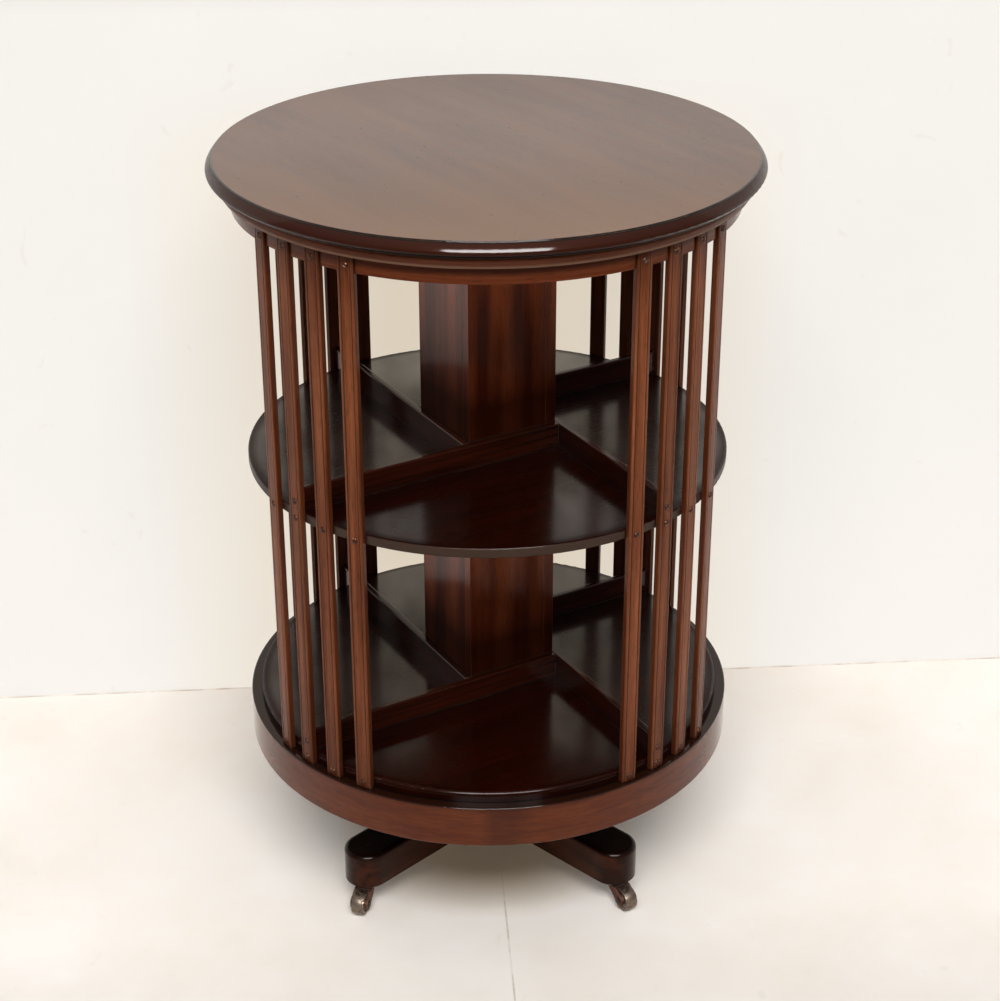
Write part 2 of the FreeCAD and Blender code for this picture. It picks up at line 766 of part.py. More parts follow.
def middle_shelf():
    """The round shelf with the column through its middle."""
    body = new_body("middle_shelf")
    profile = new_sketch(body, "XZ_Plane")
    outline(profile, [
        ("0", "middle_shelf_foot"),
        ("middle_nosing_radius", "middle_shelf_foot"),
        ("shelf_radius", "middle_nosing_foot", "middle_shelf_nosing", "left"),
        ("shelf_radius", "middle_nosing_top"),
        ("middle_nosing_radius", "middle_shelf_top", "middle_shelf_nosing", "left"),
        ("0", "middle_shelf_top"),
    ])
    turn_solid(body, profile)
    hole = new_sketch(body, "XY_Plane", raised("middle_shelf_top"))
    outline(hole, rectangle("shelf_hole_half", "shelf_hole_half"))
    extrude(body, "Pocket", hole, "middle_shelf_thickness")
    return body


def plinth_ring():
    """The deep ring under the bottom shelf, on which the slats stand."""
    body = new_body("plinth_ring")
    profile = new_sketch(body, "XZ_Plane")
    outline(profile, [
        ("plinth_bore", "plinth_foot"),
        ("plinth_flat_radius", "plinth_foot"),
        ("plinth_radius", "plinth_lower_round", "plinth_round", "left"),
        ("plinth_radius", "plinth_upper_round"),
        ("plinth_flat_radius", "plinth_top", "plinth_round", "left"),
        ("plinth_bore", "plinth_top"),
    ])
    turn_solid(body, profile)
    return body


def bearer_block():
    """The block under the bottom shelf that carries the guide collar."""
    body = block("bearer_block", "bearer_foot", "bearer_half", "bearer_thickness")
    ease(body, "Chamfer", "bearer_bevel", lambda edge: lies_at(edge, "bearer_foot"))
    bore_block(body, "plinth_top", "spindle_clear_radius", "bearer_thickness")
    return body


def column_board(quarter):
    """One side of the hollow column; each board covers the edge of the next."""
    body = new_body(f"column_board_{quarter + 1}", turned(str(90 * quarter)))
    section = new_sketch(body, "XY_Plane", raised("bottom_shelf_top"))
    outline(section, [
        ("-column_half", "-column_half"),
        ("column_inner_half", "-column_half"),
        ("column_inner_half", "-column_inner_half"),
        ("-column_half", "-column_inner_half"),
    ])
    extrude(body, "Pad", section, "column_length")
    return body


def book_stop(storey, shelf_top, stop_top, quarter):
    """A strip on the shelf against the column, out to the shelf's edge."""
    body = new_body(f"book_stop_{storey}_{quarter + 1}", turned(str(90 * quarter)))
    plan = new_sketch(body, "XY_Plane", raised(shelf_top))
    outline(plan, [
        ("-stop_end_front", "-stop_front"),
        ("column_half", "-stop_front"),
        ("column_half", "-column_half"),
        ("-stop_end_back", "-column_half"),
    ])
    extrude(body, "Pad", plan, "stop_height")
    ease(body, "Fillet", "stop_round", lambda edge: (
        lies_at(edge, stop_top) and edge.BoundBox.XLength > number("column_width")))
    return body


def pivot_cup():
    """The iron cup under the top block that turns on the spindle's point."""
    body = new_body("pivot_cup")
    profile = new_sketch(body, "XZ_Plane")
    outline(profile, [
        ("bearing_bore", "cup_boss_foot"),
        ("cup_boss_radius", "cup_boss_foot"),
        ("cup_boss_radius", "cup_plate_foot"),
        ("cup_plate_radius", "cup_plate_foot"),
        ("cup_plate_radius", "top_block_foot"),
        ("0", "top_block_foot"),
        ("0", "cup_floor"),
        ("bearing_bore", "cup_floor"),
    ])
    turn_solid(body, profile)
    return body


# %% Assembly ------------------------------------------------------------------------

sub_parts = [
    foot_bar("foot_bar_lower", "Sizes.base_turn", lap_on_top=True),
    foot_bar("foot_bar_upper", "Sizes.base_turn + 90", lap_on_top=False),
    hub_block(),
    plate("spindle_flange", "hub_top", "flange_radius", "flange_thickness",
          "bearing_bore"),
    screws_round("flange_screws", "flange_screw_radius", "flange_top",
                 "Sizes.base_turn + 45"),
    spindle(),
    group("castor_plates", [castor_plate(index) for index in range(1, QUARTERS + 1)]),
]
for index in range(1, QUARTERS + 1):
    sub_parts += [castor_horn(index), castor_axle(index), castor_wheel(index)]
sub_parts += [top_board(), cornice_moulding(), frieze_ring()]
sub_parts += [slat(quarter, place)
              for quarter in range(QUARTERS) for place in range(SLATS_IN_GROUP)]
sub_parts += [slat_screws(), bottom_shelf(), middle_shelf(), plinth_ring(), bearer_block()]
sub_parts += [column_board(quarter) for quarter in range(QUARTERS)]
sub_parts += [book_stop("lower", "bottom_shelf_top", "lower_stop_top", quarter)
              for quarter in range(QUARTERS)]
sub_parts += [book_stop("upper", "middle_shelf_top", "upper_stop_top", quarter)
              for quarter in range(QUARTERS)]
sub_parts += [
    block("column_top_block", "top_block_foot", "top_block_half", "top_block_thickness"),
    pivot_cup(),
    screws_round("pivot_cup_screws", "cup_screw_radius", "cup_plate_foot", "45", "180"),
    plate("guide_collar", "collar_foot", "collar_radius", "collar_thickness",
          "bearing_bore"),
    screws_round("guide_collar_screws", "collar_screw_radius", "collar_foot", "45", "180"),
]
doc.recompute()

# %% Checks and export ---------------------------------------------------------------

for item in doc.Objects:
    if "Invalid" in item.State or "Error" in item.State:
        raise RuntimeError(f"{item.Name} did not compute: {item.State}")
    if item.TypeId == "PartDesign::Pocket":
        before = item.BaseFeature.Shape.Volume
        if item.Shape.Volume > before - 1:
            raise RuntimeError(f"{item.Name} cuts nothing")

for item in sub_parts:
    if item.Shape.isNull() or not item.Shape.isValid():
        raise RuntimeError(f"{item.Label} has no valid shape")

os.makedirs("parts", exist_ok=True)
for item in sub_parts:
    item.Shape.exportStep(f"parts/{item.Label}.step")
    solids, volume = len(item.Shape.Solids), item.Shape.Volume / 1000
    print(f"{item.Label:22s} {solids:3d} solids {volume:10.2f} cm3")
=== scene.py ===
# %% [markdown]
# # A revolving bookcase in French-polished mahogany
#
# The real object is an Edwardian drum bookcase.  A round top, two round shelves and a
# square hollow column turn together on an iron spindle, sixteen slats with beaded
# edges keep the books in, and the whole drum stands on a cross of two thick mahogany
# bars with four small castors.
#
# The measured parts come ready-made as a frame, so this script has three jobs: to give
# every part a believable finish, to add the small things that are too fine for the
# measured model, and to set up a camera and a light that show them.

# %% Load the measured frame
import math
import random

import bmesh
import bpy
from mathutils import Matrix, Vector


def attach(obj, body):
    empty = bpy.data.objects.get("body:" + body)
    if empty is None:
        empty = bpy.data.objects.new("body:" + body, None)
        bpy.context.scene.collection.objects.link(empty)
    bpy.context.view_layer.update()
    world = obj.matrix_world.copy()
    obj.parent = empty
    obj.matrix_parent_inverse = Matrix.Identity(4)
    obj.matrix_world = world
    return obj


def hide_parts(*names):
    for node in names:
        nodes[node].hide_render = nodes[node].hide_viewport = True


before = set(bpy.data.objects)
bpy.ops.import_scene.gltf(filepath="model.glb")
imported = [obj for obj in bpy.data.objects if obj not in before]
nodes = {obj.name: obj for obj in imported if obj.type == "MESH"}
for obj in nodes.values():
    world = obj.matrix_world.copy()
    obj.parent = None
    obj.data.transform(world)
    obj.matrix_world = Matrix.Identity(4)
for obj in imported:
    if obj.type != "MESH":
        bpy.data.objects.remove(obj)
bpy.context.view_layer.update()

MM = 0.001  # lengths are in metres
scene = bpy.context.scene

# %% [markdown]
# ## Colours and nodes
#
# Colours are easiest to choose as the hex codes that a paint program shows, but a
# shader works with linear light.  One function turns the first into the second.
#
# Materials are graphs of nodes.  Adding a node, changing its settings and plugging
# things into it are three steps that always come together, so one small function does
# all three.  What is given for a socket is either a plain value or another node's output.

# %% Colours and nodes
def colour(hex_code):
    """The linear RGBA of an sRGB hex code such as #73573F, by the sRGB standard's curve."""
    linear = []
    for start in (1, 3, 5):
        channel = int(hex_code[start:start + 2], 16) / 255
        linear.append(((channel + 0.055) / 1.055) ** 2.4 if channel > 0.04045 else channel / 12.92)
    return (*linear, 1.0)


def add(tree, kind, sockets=None, **settings):
    """Adds a node, sets it up, and fills or links its sockets."""
    made = tree.nodes.new("ShaderNode" + kind)
    for name, value in settings.items():
        setattr(made, name, value)
    for name, value in (sockets or {}).items():
        if isinstance(value, bpy.types.NodeSocket):
            tree.links.new(value, made.inputs[name])
        else:
            made.inputs[name].default_value = value
    return made


def blank(name):
    """A new material with an empty graph and its output node."""
    made = bpy.data.materials.new(name)
    made.use_nodes = True
    made.node_tree.nodes.clear()
    return made, made.node_tree, add(made.node_tree, "OutputMaterial")


print("mid brown is", [round(c, 3) for c in colour("#73573F")])

# %% [markdown]
# ## The camera
#
# A camera can be aimed with two angles, or by giving the three directions of its own
# axes.  The second way is used here, because it also fixes the slight roll of a camera
# that is held by hand.  The focal length is written in pixels of the image, and turned
# into millimetres for the lens.

# %% Camera
IMAGE_WIDTH = 1000  # pixels
FOCAL_LENGTH = 2106.05  # pixels
SENSOR_WIDTH = 36.0  # millimetres
CAMERA_PLACE = Vector((-1.01784, -1.76295, 1.4551))
CAMERA_RIGHT = Vector((0.86253, -0.50600, -0.00090))
CAMERA_UP = Vector((0.22900, 0.38877, 0.89242))

camera_data = bpy.data.cameras.new("camera")
camera_data.sensor_fit = "HORIZONTAL"
camera_data.sensor_width = SENSOR_WIDTH
camera_data.lens = FOCAL_LENGTH / IMAGE_WIDTH * SENSOR_WIDTH
camera = bpy.data.objects.new("camera", camera_data)
scene.collection.objects.link(camera)

camera_back = CAMERA_RIGHT.cross(CAMERA_UP)
turned = Matrix((CAMERA_RIGHT, CAMERA_UP, camera_back)).transposed()
camera.matrix_world = Matrix.Translation(CAMERA_PLACE) @ turned.to_4x4()
scene.camera = camera
print("lens of", round(camera_data.lens, 1), "mm")

# %% [markdown]
# ## Where a spot lies
#
# Wear, grime and fading depend on where a spot is on the real object: how far out from
# its axis, how high up, how far round to the front.  All that could be painted by hand
# on unwrapped faces.  Measured inside the material it needs no unwrapping, and the
# same few helpers serve every finish.

# %% Numbers and colours in a material
def spread(tree, value, low, high, to_low=0.0, to_high=1.0):
    """Stretches a value's useful range, low to high, and clips the rest."""
    made = add(tree, "MapRange", {"Value": value, "From Min": low, "From Max": high,
                                  "To Min": to_low, "To Max": to_high})
    return made.outputs["Result"]


def blend(tree, amount, under, over):
    """Mixes two colours."""
    made = add(tree, "MixRGB", {"Fac": amount, "Color1": under, "Color2": over})
    return made.outputs["Color"]


def times(tree, value, other):
    """Multiplies two numbers."""
    return add(tree, "Math", {0: value, 1: other}, operation="MULTIPLY").outputs["Value"]


def larger(tree, value, other):
    """The larger of two numbers."""
    return add(tree, "Math", {0: value, 1: other}, operation="MAXIMUM").outputs["Value"]


print("four ways to reckon with numbers and colours")

# %% Distances in a material
FRONT = math.radians(240)  # the azimuth of the side that faces the camera


def place_on(tree):
    """Where a spot is on its piece, in metres."""
    return add(tree, "TexCoord").outputs["Object"]


def height_of(tree):
    """How high a spot is above the floor."""
    return add(tree, "SeparateXYZ", {"Vector": place_on(tree)}).outputs["Z"]


def from_axis(tree):
    """How far a spot is from the case's axis."""
    level = add(tree, "VectorMath", {0: place_on(tree), 1: (1, 1, 0)}, operation="MULTIPLY")
    reach = add(tree, "VectorMath", {0: level.outputs["Vector"]}, operation="LENGTH")
    return reach.outputs["Value"]


def from_front(tree):
    """A spot's X towards the front, Y towards the right as seen from there, and Z up."""
    turn = add(tree, "Mapping", {"Vector": place_on(tree), "Rotation": (0, 0, -FRONT)})
    return add(tree, "SeparateXYZ", {"Vector": turn.outputs["Vector"]}).outputs


print("the front is at", round(math.degrees(FRONT)), "degrees")

# %% [markdown]
# ## The backdrop
#
# The bookcase stands on a sheet of warm white paper close in front of a white wall.
# The wall is not only a background: polished wood seen at a low angle is half a
# mirror, and most of what the round top shows is this wall.  Nearer to the camera the
# paper is darkened with painted shade, as if it fell off into the dim of the room, which
# keeps the faces that look forwards and down rich and dark.  Painted shade also dims the
# wall high up, and painted bounce light warms both sheets near the case.
#
# The eye and a polished face see the paper brighter than it lights the wood.  Light
# Path tells those rays from the rest, so the background is white and the light plain.
# Both sheets are one-sided.  From behind or below they are clear, so the case can be
# looked at from every side.

# %% Paper and paint
WALL_POINT = Vector((-0.4048, 0.5626, 0.0))
WALL_TURN = math.radians(-26.13)
WALL_ALONG = Vector((math.cos(WALL_TURN), math.sin(WALL_TURN), 0.0))
WALL_OUT = Vector((WALL_ALONG.y, -WALL_ALONG.x, 0.0))  # towards the case
# Painted shade: the sheets darken between these distances from the wall, and the wall above this
# height.
DIM_FROM, DIM_TO = 0.5, 1.45  # from the wall, where the paper falls off into the dim
DIM_HEIGHT, DIM_RISE = 0.88, 0.12  # above this the wall is out of the lamp's best light
PAINTED_DIM, JOINT_AND_CORNER_SHADE, SCUFF = "#8A8078", "#9A8468", "#B09A78"


def distance_from(tree, start, along):
    """How far a spot lies to the left of a line on the floor."""
    side = Vector((-along.y, along.x, 0.0))
    across = add(tree, "VectorMath", {0: place_on(tree), 1: side}, operation="DOT_PRODUCT")
    return add(tree, "Math", {0: across.outputs["Value"], 1: side.dot(start)},
               operation="SUBTRACT").outputs["Value"]


def noise(tree, place, size, detail, **more):
    """Noise whose spots are `size` metres."""
    made = add(tree, "TexNoise", {"Vector": place, "Scale": 1 / size, "Detail": detail, **more})
    return made.outputs["Fac"]


def paper_tone(tree, near, far, patch_size, joints):
    """The sheet's colour: uneven patches, a darker line along each joint (at the wall's foot it is
    painted shade), and faint scuffs.
    """
    place = place_on(tree)
    patches = noise(tree, place, patch_size, 5.0, Roughness=0.6)
    tone = blend(tree, spread(tree, patches, 0.35, 0.65), colour(near), colour(far))
    for start, along, half_width, depth in joints:
        broken = noise(tree, place, 35 * MM, 3.0)
        off = add(tree, "Math", {0: distance_from(tree, start, along)}, operation="ABSOLUTE")
        there = times(tree, spread(tree, off.outputs["Value"], half_width, half_width * 0.3),
                      spread(tree, broken, 0.42, 0.62, 0.25 * depth, depth))
        tone = blend(tree, there, tone, colour(JOINT_AND_CORNER_SHADE))
    scuffs = noise(tree, place, 60 * MM, 2.0, Distortion=2.5)
    return blend(tree, spread(tree, scuffs, 0.70, 0.80, 0.0, 0.10), tone, colour(SCUFF))


def paper(name, near, far, painted_bounce, reach, patch_size, joints, gain, glow):
    """Matt paper or emulsion paint with uneven patches, painted shade and painted bounce light,
    seen from one side only.

    The eye and a polished face see it with its shadows scaled by `gain` and raised
    by `glow`.
    """
    made, tree, out = blank(name)
    tone = paper_tone(tree, near, far, patch_size, joints)
    # Painted shade: the sheet darkens away from the wall and high up on the wall.
    from_wall = times(tree, distance_from(tree, WALL_POINT, WALL_ALONG), -1.0)
    tone = blend(tree, spread(tree, from_wall, DIM_FROM, DIM_TO), tone, colour(PAINTED_DIM))
    high_up = spread(tree, height_of(tree), DIM_HEIGHT, DIM_HEIGHT + DIM_RISE, 0.0, 0.32)
    tone = blend(tree, high_up, tone, colour(PAINTED_DIM))
    # Painted bounce light: near the case the sheet's colour is warmed, as light thrown between the
    # mahogany and the sheet would warm it.
    near_case = times(tree, spread(tree, from_axis(tree), reach, reach / 2),
                      spread(tree, height_of(tree), 0.8, 0.7))
    tone = blend(tree, near_case, tone, colour(painted_bounce))

    path = add(tree, "LightPath").outputs
    seen = larger(tree, path["Is Camera Ray"], path["Is Glossy Ray"])
    seen = larger(tree, seen, path["Is Transmission Ray"])
    shown = add(tree, "VectorMath", {0: tone, "Scale": spread(tree, seen, 0, 1, 1.0, gain)},
                operation="SCALE")
    lit = add(tree, "BsdfDiffuse", {"Color": shown.outputs["Vector"]})
    own = add(tree, "Emission", {"Color": tone, "Strength": times(tree, seen, glow)})
    face = add(tree, "AddShader", {0: lit.outputs["BSDF"], 1: own.outputs["Emission"]})
    clear = add(tree, "BsdfTransparent")
    back = add(tree, "NewGeometry").outputs["Backfacing"]
    mixed = add(tree, "MixShader", {"Fac": back, 1: face.outputs["Shader"],
                                    2: clear.outputs["BSDF"]})
    tree.links.new(mixed.outputs["Shader"], out.inputs["Surface"])
    return made


print("the wall faces", [round(v, 3) for v in WALL_OUT])

# %% [markdown]
# Each sheet is a single flat face.  A paper roll swept up into the wall would hide the
# line where the two meet, but here that line shows, faintly, as painted shade, and so
# does a joint between two sheets of paper.  Both are only a soft, darker line in the
# paper's colour.

# %% Wall and floor
WALL_HALF = 3.2
WALL_HEIGHT = 2.6
PAPER_DEPTH = 1.5
JOINT_START = Vector((-0.0613, -0.1408, 0.0))  # a joint between two sheets of paper
JOINT_END = Vector((-0.1331, -0.2831, 0.0))


def sheet(name, corners):
    """A flat four-cornered sheet of the backdrop."""
    mesh = bpy.data.meshes.new(name)
    mesh.from_pydata([tuple(c) for c in corners], [], [(0, 1, 2, 3)])
    made = bpy.data.objects.new(name, mesh)
    scene.collection.objects.link(made)
    return made


# Its fourth colour is painted bounce light, the warmth near the case.
wall_paint = paper("white_emulsion_wall", "#F0EDE8", "#F4F1EC", "#F3E2C6", reach=0.52,
                   patch_size=0.8, joints=[], gain=0.36, glow=0.74)
lift = Vector((0, 0, WALL_HEIGHT))
left, right = WALL_POINT - WALL_ALONG * WALL_HALF, WALL_POINT + WALL_ALONG * WALL_HALF
wall = sheet("wall", [left, right, right + lift, left + lift])
wall.data.materials.append(wall_paint)

# Painted shade in a thin line along the foot of the wall, where it meets the floor.
wall_foot_shade = (WALL_POINT + WALL_OUT * 2 * MM, WALL_ALONG, 2.5 * MM, 0.5)
paper_joint = (JOINT_START, (JOINT_END - JOINT_START).normalized(), 1.4 * MM, 0.6)
# Its fourth colour is painted bounce light, the warmth near the case.
floor_paper = paper("warm_white_paper", "#F1EAE1", "#F8F3EE", "#E2CEB0", reach=0.18,
                    patch_size=0.22, joints=[wall_foot_shade, paper_joint], gain=1.06, glow=0.06)
forward = WALL_OUT * PAPER_DEPTH
floor = sheet("paper_floor", [left + forward, right + forward, right, left])
floor.data.materials.append(floor_paper)
print("paper of", 2 * WALL_HALF, "by", PAPER_DEPTH, "m")

# %% [markdown]
# ## Light
#
# One wide soft lamp hangs high behind the camera and does the lighting.  A second,
# lower strip does nothing but draw the thin bright line along the rounded nose of the
# top.  One lamp could do both, but then moving one effect would move the other.  So
# the strip shows in polish and lights nothing, and the lamp lights and doesn't show,
# as if it were flagged off.
#
# The rest is even light from a pale ceiling, which the world gives: bright overhead
# and dim at the horizon and below.  Together they light a white card to about 1, so
# colours render as they are written.

# %% Lamps
LAMP_DISTANCE = 5.0
LAMP_WIDTH = 3.2
LAMP_HEIGHT = 1.5
LAMP_TARGET = Vector((0, 0, 0.6))


def soft_lamp(name, azimuth, elevation, radiance):
    """A rectangular lamp behind the camera that faces the case; the angles are in degrees."""
    data = bpy.data.lights.new(name, "AREA")
    data.shape = "RECTANGLE"
    data.size, data.size_y = LAMP_WIDTH, LAMP_HEIGHT
    data.energy = radiance * math.pi * LAMP_WIDTH * LAMP_HEIGHT
    data.color = (1.0, 0.99, 0.98)
    made = bpy.data.objects.new(name, data)
    scene.collection.objects.link(made)
    turn, rise = math.radians(azimuth), math.radians(elevation)
    towards = Vector((math.cos(turn) * math.cos(rise), math.sin(turn) * math.cos(rise),
                      math.sin(rise)))
    made.location = LAMP_TARGET + towards * LAMP_DISTANCE
    made.rotation_euler = towards.to_track_quat("Z", "Y").to_euler()
    return made


lamp = soft_lamp("soft_lamp", azimuth=242, elevation=46, radiance=14.0)
lamp.visible_glossy = False
strip = soft_lamp("strip_lamp", azimuth=244.5, elevation=35, radiance=32.0)
strip.visible_diffuse = False
print("lamp of", round(lamp.data.energy), "W, strip of", round(strip.data.energy), "W")

# %% [markdown]
# Beyond the sheets, the eye and polish that looks away from the camera see a pale
# room, and polish that looks towards the camera sees the dim one that lights the case.

# %% World
CEILING_LIGHT = 0.6
HORIZON_LIGHT = 0.13
FLOOR_LIGHT = 0.22  # the dim floor of the room

world = bpy.data.worlds.new("pale_room")
scene.world = world
world.use_nodes = True
room = world.node_tree
room.nodes.clear()
path = add(room, "LightPath").outputs
direction = add(room, "TexCoord").outputs["Generated"]
backwards = (-math.cos(FRONT), -math.sin(FRONT), 0)
towards_back = add(room, "VectorMath", {0: direction, 1: backwards}, operation="DOT_PRODUCT")
mirrored = times(room, path["Is Glossy Ray"], spread(room, towards_back.outputs["Value"], 0.1, 0.5))
seen = larger(room, larger(room, path["Is Camera Ray"], mirrored), path["Is Transmission Ray"])
pale = add(room, "Background", {"Color": colour("#F6F0EA"), "Strength": 1.0})

height = add(room, "SeparateXYZ", {"Vector": direction}).outputs["Z"]
above = spread(room, height, 0.3, 0.95, HORIZON_LIGHT, CEILING_LIGHT)
below = spread(room, height, -0.3, 0.0, FLOOR_LIGHT - HORIZON_LIGHT, 0.0)
level = add(room, "Math", {0: above, 1: below}, operation="ADD").outputs["Value"]
even = add(room, "Background", {"Color": (1.0, 1.0, 1.0, 1.0), "Strength": level})
both = add(room, "MixShader", {"Fac": seen, 1: even.outputs["Background"],
                               2: pale.outputs["Background"]})
add(room, "OutputWorld", {"Surface": both.outputs["Shader"]})
scene.view_settings.view_transform = "Standard"
print("ceiling", CEILING_LIGHT, "horizon", HORIZON_LIGHT)

# %% [markdown]
# ## Mahogany
#
# Mahogany is a red-brown wood with a fine, even grain.  Three things draw its face: a
# broad ribbon figure, where the fibres lean one way and then the other; growth streaks
# a few millimetres wide; and pores, which are thin dark dashes along the grain.  Over
# a century the wood darkens, except where sun has bleached it.
#
# Image textures would need seams and unwrapping.  Noise that is stretched along the
# grain runs through the solid instead, so the end of a board shows its end grain.
# Every layer below is such a noise, and its scale is a real size in millimetres.
#
# First comes the way that the grain runs.  A board has it straight, a slat or column
# board has it upright, and a ring that is bent or built up of curved pieces has it
# running round.

# %% How the grain runs
def straight_grain(direction):
    """Grain whose X runs along a board that lies along `direction` degrees."""
    def laid(tree):
        turned_back = (0, 0, -math.radians(direction))
        made = add(tree, "Mapping", {"Vector": place_on(tree), "Rotation": turned_back})
        return made.outputs["Vector"]
    return laid


def upright_grain(tree):
    """Grain whose X runs up the piece, and which is cut from a place of its own in the log."""
    tilt = add(tree, "Mapping", {"Vector": place_on(tree), "Rotation": (0, math.radians(90), 0)})
    own = add(tree, "ObjectInfo").outputs["Random"]
    shift = add(tree, "CombineXYZ", {"X": own, "Y": own, "Z": own})
    moved = add(tree, "VectorMath", {0: tilt.outputs["Vector"], 1: shift.outputs["Vector"]})
    return moved.outputs["Vector"]


def round_grain(radius):
    """Grain whose X runs round a ring of that radius, with the seam at the back."""
    def laid(tree):
        part = from_front(tree)
        angle = add(tree, "Math", {0: part["Y"], 1: part["X"]}, operation="ARCTAN2")
        flat = add(tree, "CombineXYZ", {"X": part["X"], "Y": part["Y"]}).outputs["Vector"]
        depth = add(tree, "VectorMath", {0: flat}, operation="LENGTH").outputs["Value"]
        along = times(tree, angle.outputs["Value"], radius)
        return add(tree, "CombineXYZ", {"X": along, "Y": depth, "Z": part["Z"]}).outputs["Vector"]
    return laid


def stretched(tree, grain, along, across, detail=2.0):
    """Noise whose spots are `along` by `across` metres."""
    scaled = add(tree, "Mapping", {"Vector": grain, "Scale": (1 / along, 1 / across, 1 / across)})
    made = add(tree, "TexNoise", {"Vector": scaled.outputs["Vector"], "Scale": 1.0,
                                  "Detail": detail, "Roughness": 0.55})
    return made.outputs["Fac"]


print("grain runs straight, upright or round")

# %% [markdown]
# The layers are then mixed into the bare wood's colour.  The ribbon's share against the
# streaks is what sets a figured board apart from a plain one.

# %% The bare wood
RIBBON_LENGTH = 260 * MM
STREAK_LENGTH, STREAK_WIDTH = 140 * MM, 4.5 * MM
PORE_LENGTH, PORE_WIDTH = 16 * MM, 0.9 * MM  # 0.2 mm wide in truth, drawn wider to show
CLOUD_LENGTH, CLOUD_WIDTH = 170 * MM, 70 * MM
CLOUD_SHARE = 0.3
PORE_COLOUR = (0.01, 0.004, 0.002, 1.0)


def bare_wood(tree, grain, dark, light, ribbon, ribbon_width, run, pore_depth):
    """The wood's colour, and its streaks and pores, which its polish needs too."""
    figure = spread(tree, stretched(tree, grain, RIBBON_LENGTH * run, ribbon_width, 1.0),
                    0.35, 0.65)
    streaks = spread(tree, stretched(tree, grain, STREAK_LENGTH * run, STREAK_WIDTH, 3.0), 0.3, 0.7)
    pores = spread(tree, stretched(tree, grain, PORE_LENGTH, PORE_WIDTH, 1.0), 0.56, 0.7)
    clouds = spread(tree, stretched(tree, grain, CLOUD_LENGTH, CLOUD_WIDTH, 1.0), 0.35, 0.65)
    lean = times(tree, figure, ribbon)
    mixed = add(tree, "Math", {0: streaks, 1: 1 - ribbon, 2: lean}, operation="MULTIPLY_ADD")
    wood = blend(tree, mixed.outputs["Value"], colour(dark), colour(light))
    wood = blend(tree, times(tree, clouds, CLOUD_SHARE), wood, colour(dark))
    return blend(tree, times(tree, pores, pore_depth), wood, PORE_COLOUR), streaks, pores


print("streaks of", round(STREAK_WIDTH / MM, 1), "mm")

# %% [markdown]
# Then comes age.  Hands and dusters rub the arrises pale, and the corners are darkened
# with painted shade and dirt together.  Both could be painted, but Blender can find
# them: where a softened normal differs from the true one there is an arris, and where
# the open space round a spot is cut off there is a corner.

# %% Worn arrises and corners darkened with painted shade and grime
EDGE_RADIUS = 1.2 * MM
CORNER_REACH = 4 * MM
RUB_LENGTH, RUB_WIDTH = 60 * MM, 14 * MM
BARE_LENGTH, BARE_WIDTH = 45 * MM, 16 * MM


def upwardness(tree):
    """1 on faces that look up, -1 on faces that look down."""
    facing = add(tree, "NewGeometry").outputs["Normal"]
    return add(tree, "SeparateXYZ", {"Vector": facing}).outputs["Z"]


def arris(tree, radius):
    """The normal softened over that radius, and how far it agrees with the true one."""
    soft = add(tree, "Bevel", {"Radius": radius}, samples=4).outputs["Normal"]
    flat = add(tree, "NewGeometry").outputs["Normal"]
    agree = add(tree, "VectorMath", {0: soft, 1: flat}, operation="DOT_PRODUCT")
    return soft, agree.outputs["Value"]


def aged_and_shaded(tree, wood, grain, agree, corners, worn, wear, patches):
    """Painted shade and grime in the corners, pale arrises, and patches of lost colour on the
    upright faces.
    """
    open_side = add(tree, "AmbientOcclusion", {"Distance": CORNER_REACH}, samples=6).outputs["AO"]
    # Painted shade, with grime: corners and crevices darken where little open space is round a
    # spot.
    wood = blend(tree, spread(tree, open_side, 0.9, 0.5, 0.0, 0.9), wood, colour(corners))
    rubbed = spread(tree, stretched(tree, grain, RUB_LENGTH, RUB_WIDTH, 3.0), 0.35, 0.65)
    edge = times(tree, spread(tree, agree, 0.99, 0.8), rubbed)
    wood = blend(tree, times(tree, edge, wear), wood, colour(worn))
    if patches:
        bare = stretched(tree, grain, BARE_LENGTH, BARE_WIDTH, 4.0)
        bare = spread(tree, bare, 0.5, 0.72, 0.0, patches)
        upright = spread(tree, upwardness(tree), 0.15, 0.5, 1.0, 0.0)
        wood = blend(tree, times(tree, bare, upright), wood, colour(worn))
    return wood


print("arrises worn over", round(EDGE_RADIUS / MM, 1), "mm")

# %% [markdown]
# The finish is French polish, many thin coats of shellac rubbed to a gloss.  In the
# Principled shader that is a coat over a wood that has almost no shine of its own,
# because the shellac soaks in and hides the wood's surface.  What little shine comes
# from under the coat is tinted by the old, amber shellac.  The coat has bumps of its
# own: the slight waves that hand polishing leaves, scratches, and dents.

# %% The polish's own surface
WAVE_SIZE = 30 * MM
WAVE_HEIGHT = 0.012 * MM
SCRATCH_LENGTH, SCRATCH_WIDTH = 110 * MM, 1.2 * MM  # 0.1 mm wide in truth, drawn wider to show
DENT_LENGTH, DENT_WIDTH = 8 * MM, 5 * MM


def bumped(tree, heights, depth, under):
    """The normal `under`, with bumps `depth` metres high."""
    made = add(tree, "Bump", {"Height": heights, "Distance": depth, "Normal": under})
    return made.outputs["Normal"]


def polish_skin(tree, grain, soft, scratches, dents):
    """The normal of the polish."""
    skin = bumped(tree, noise(tree, grain, WAVE_SIZE, 1.0), WAVE_HEIGHT, soft)
    if scratches:
        slid = stretched(tree, grain, SCRATCH_LENGTH, SCRATCH_WIDTH, 2.0)
        skin = bumped(tree, slid, scratches, skin)
    if dents:
        knocks = spread(tree, stretched(tree, grain, DENT_LENGTH, DENT_WIDTH, 0.0), 0.76, 0.84)
        skin = bumped(tree, knocks, -dents, skin)
    return skin


print("polish waves of", round(WAVE_SIZE / MM), "mm")

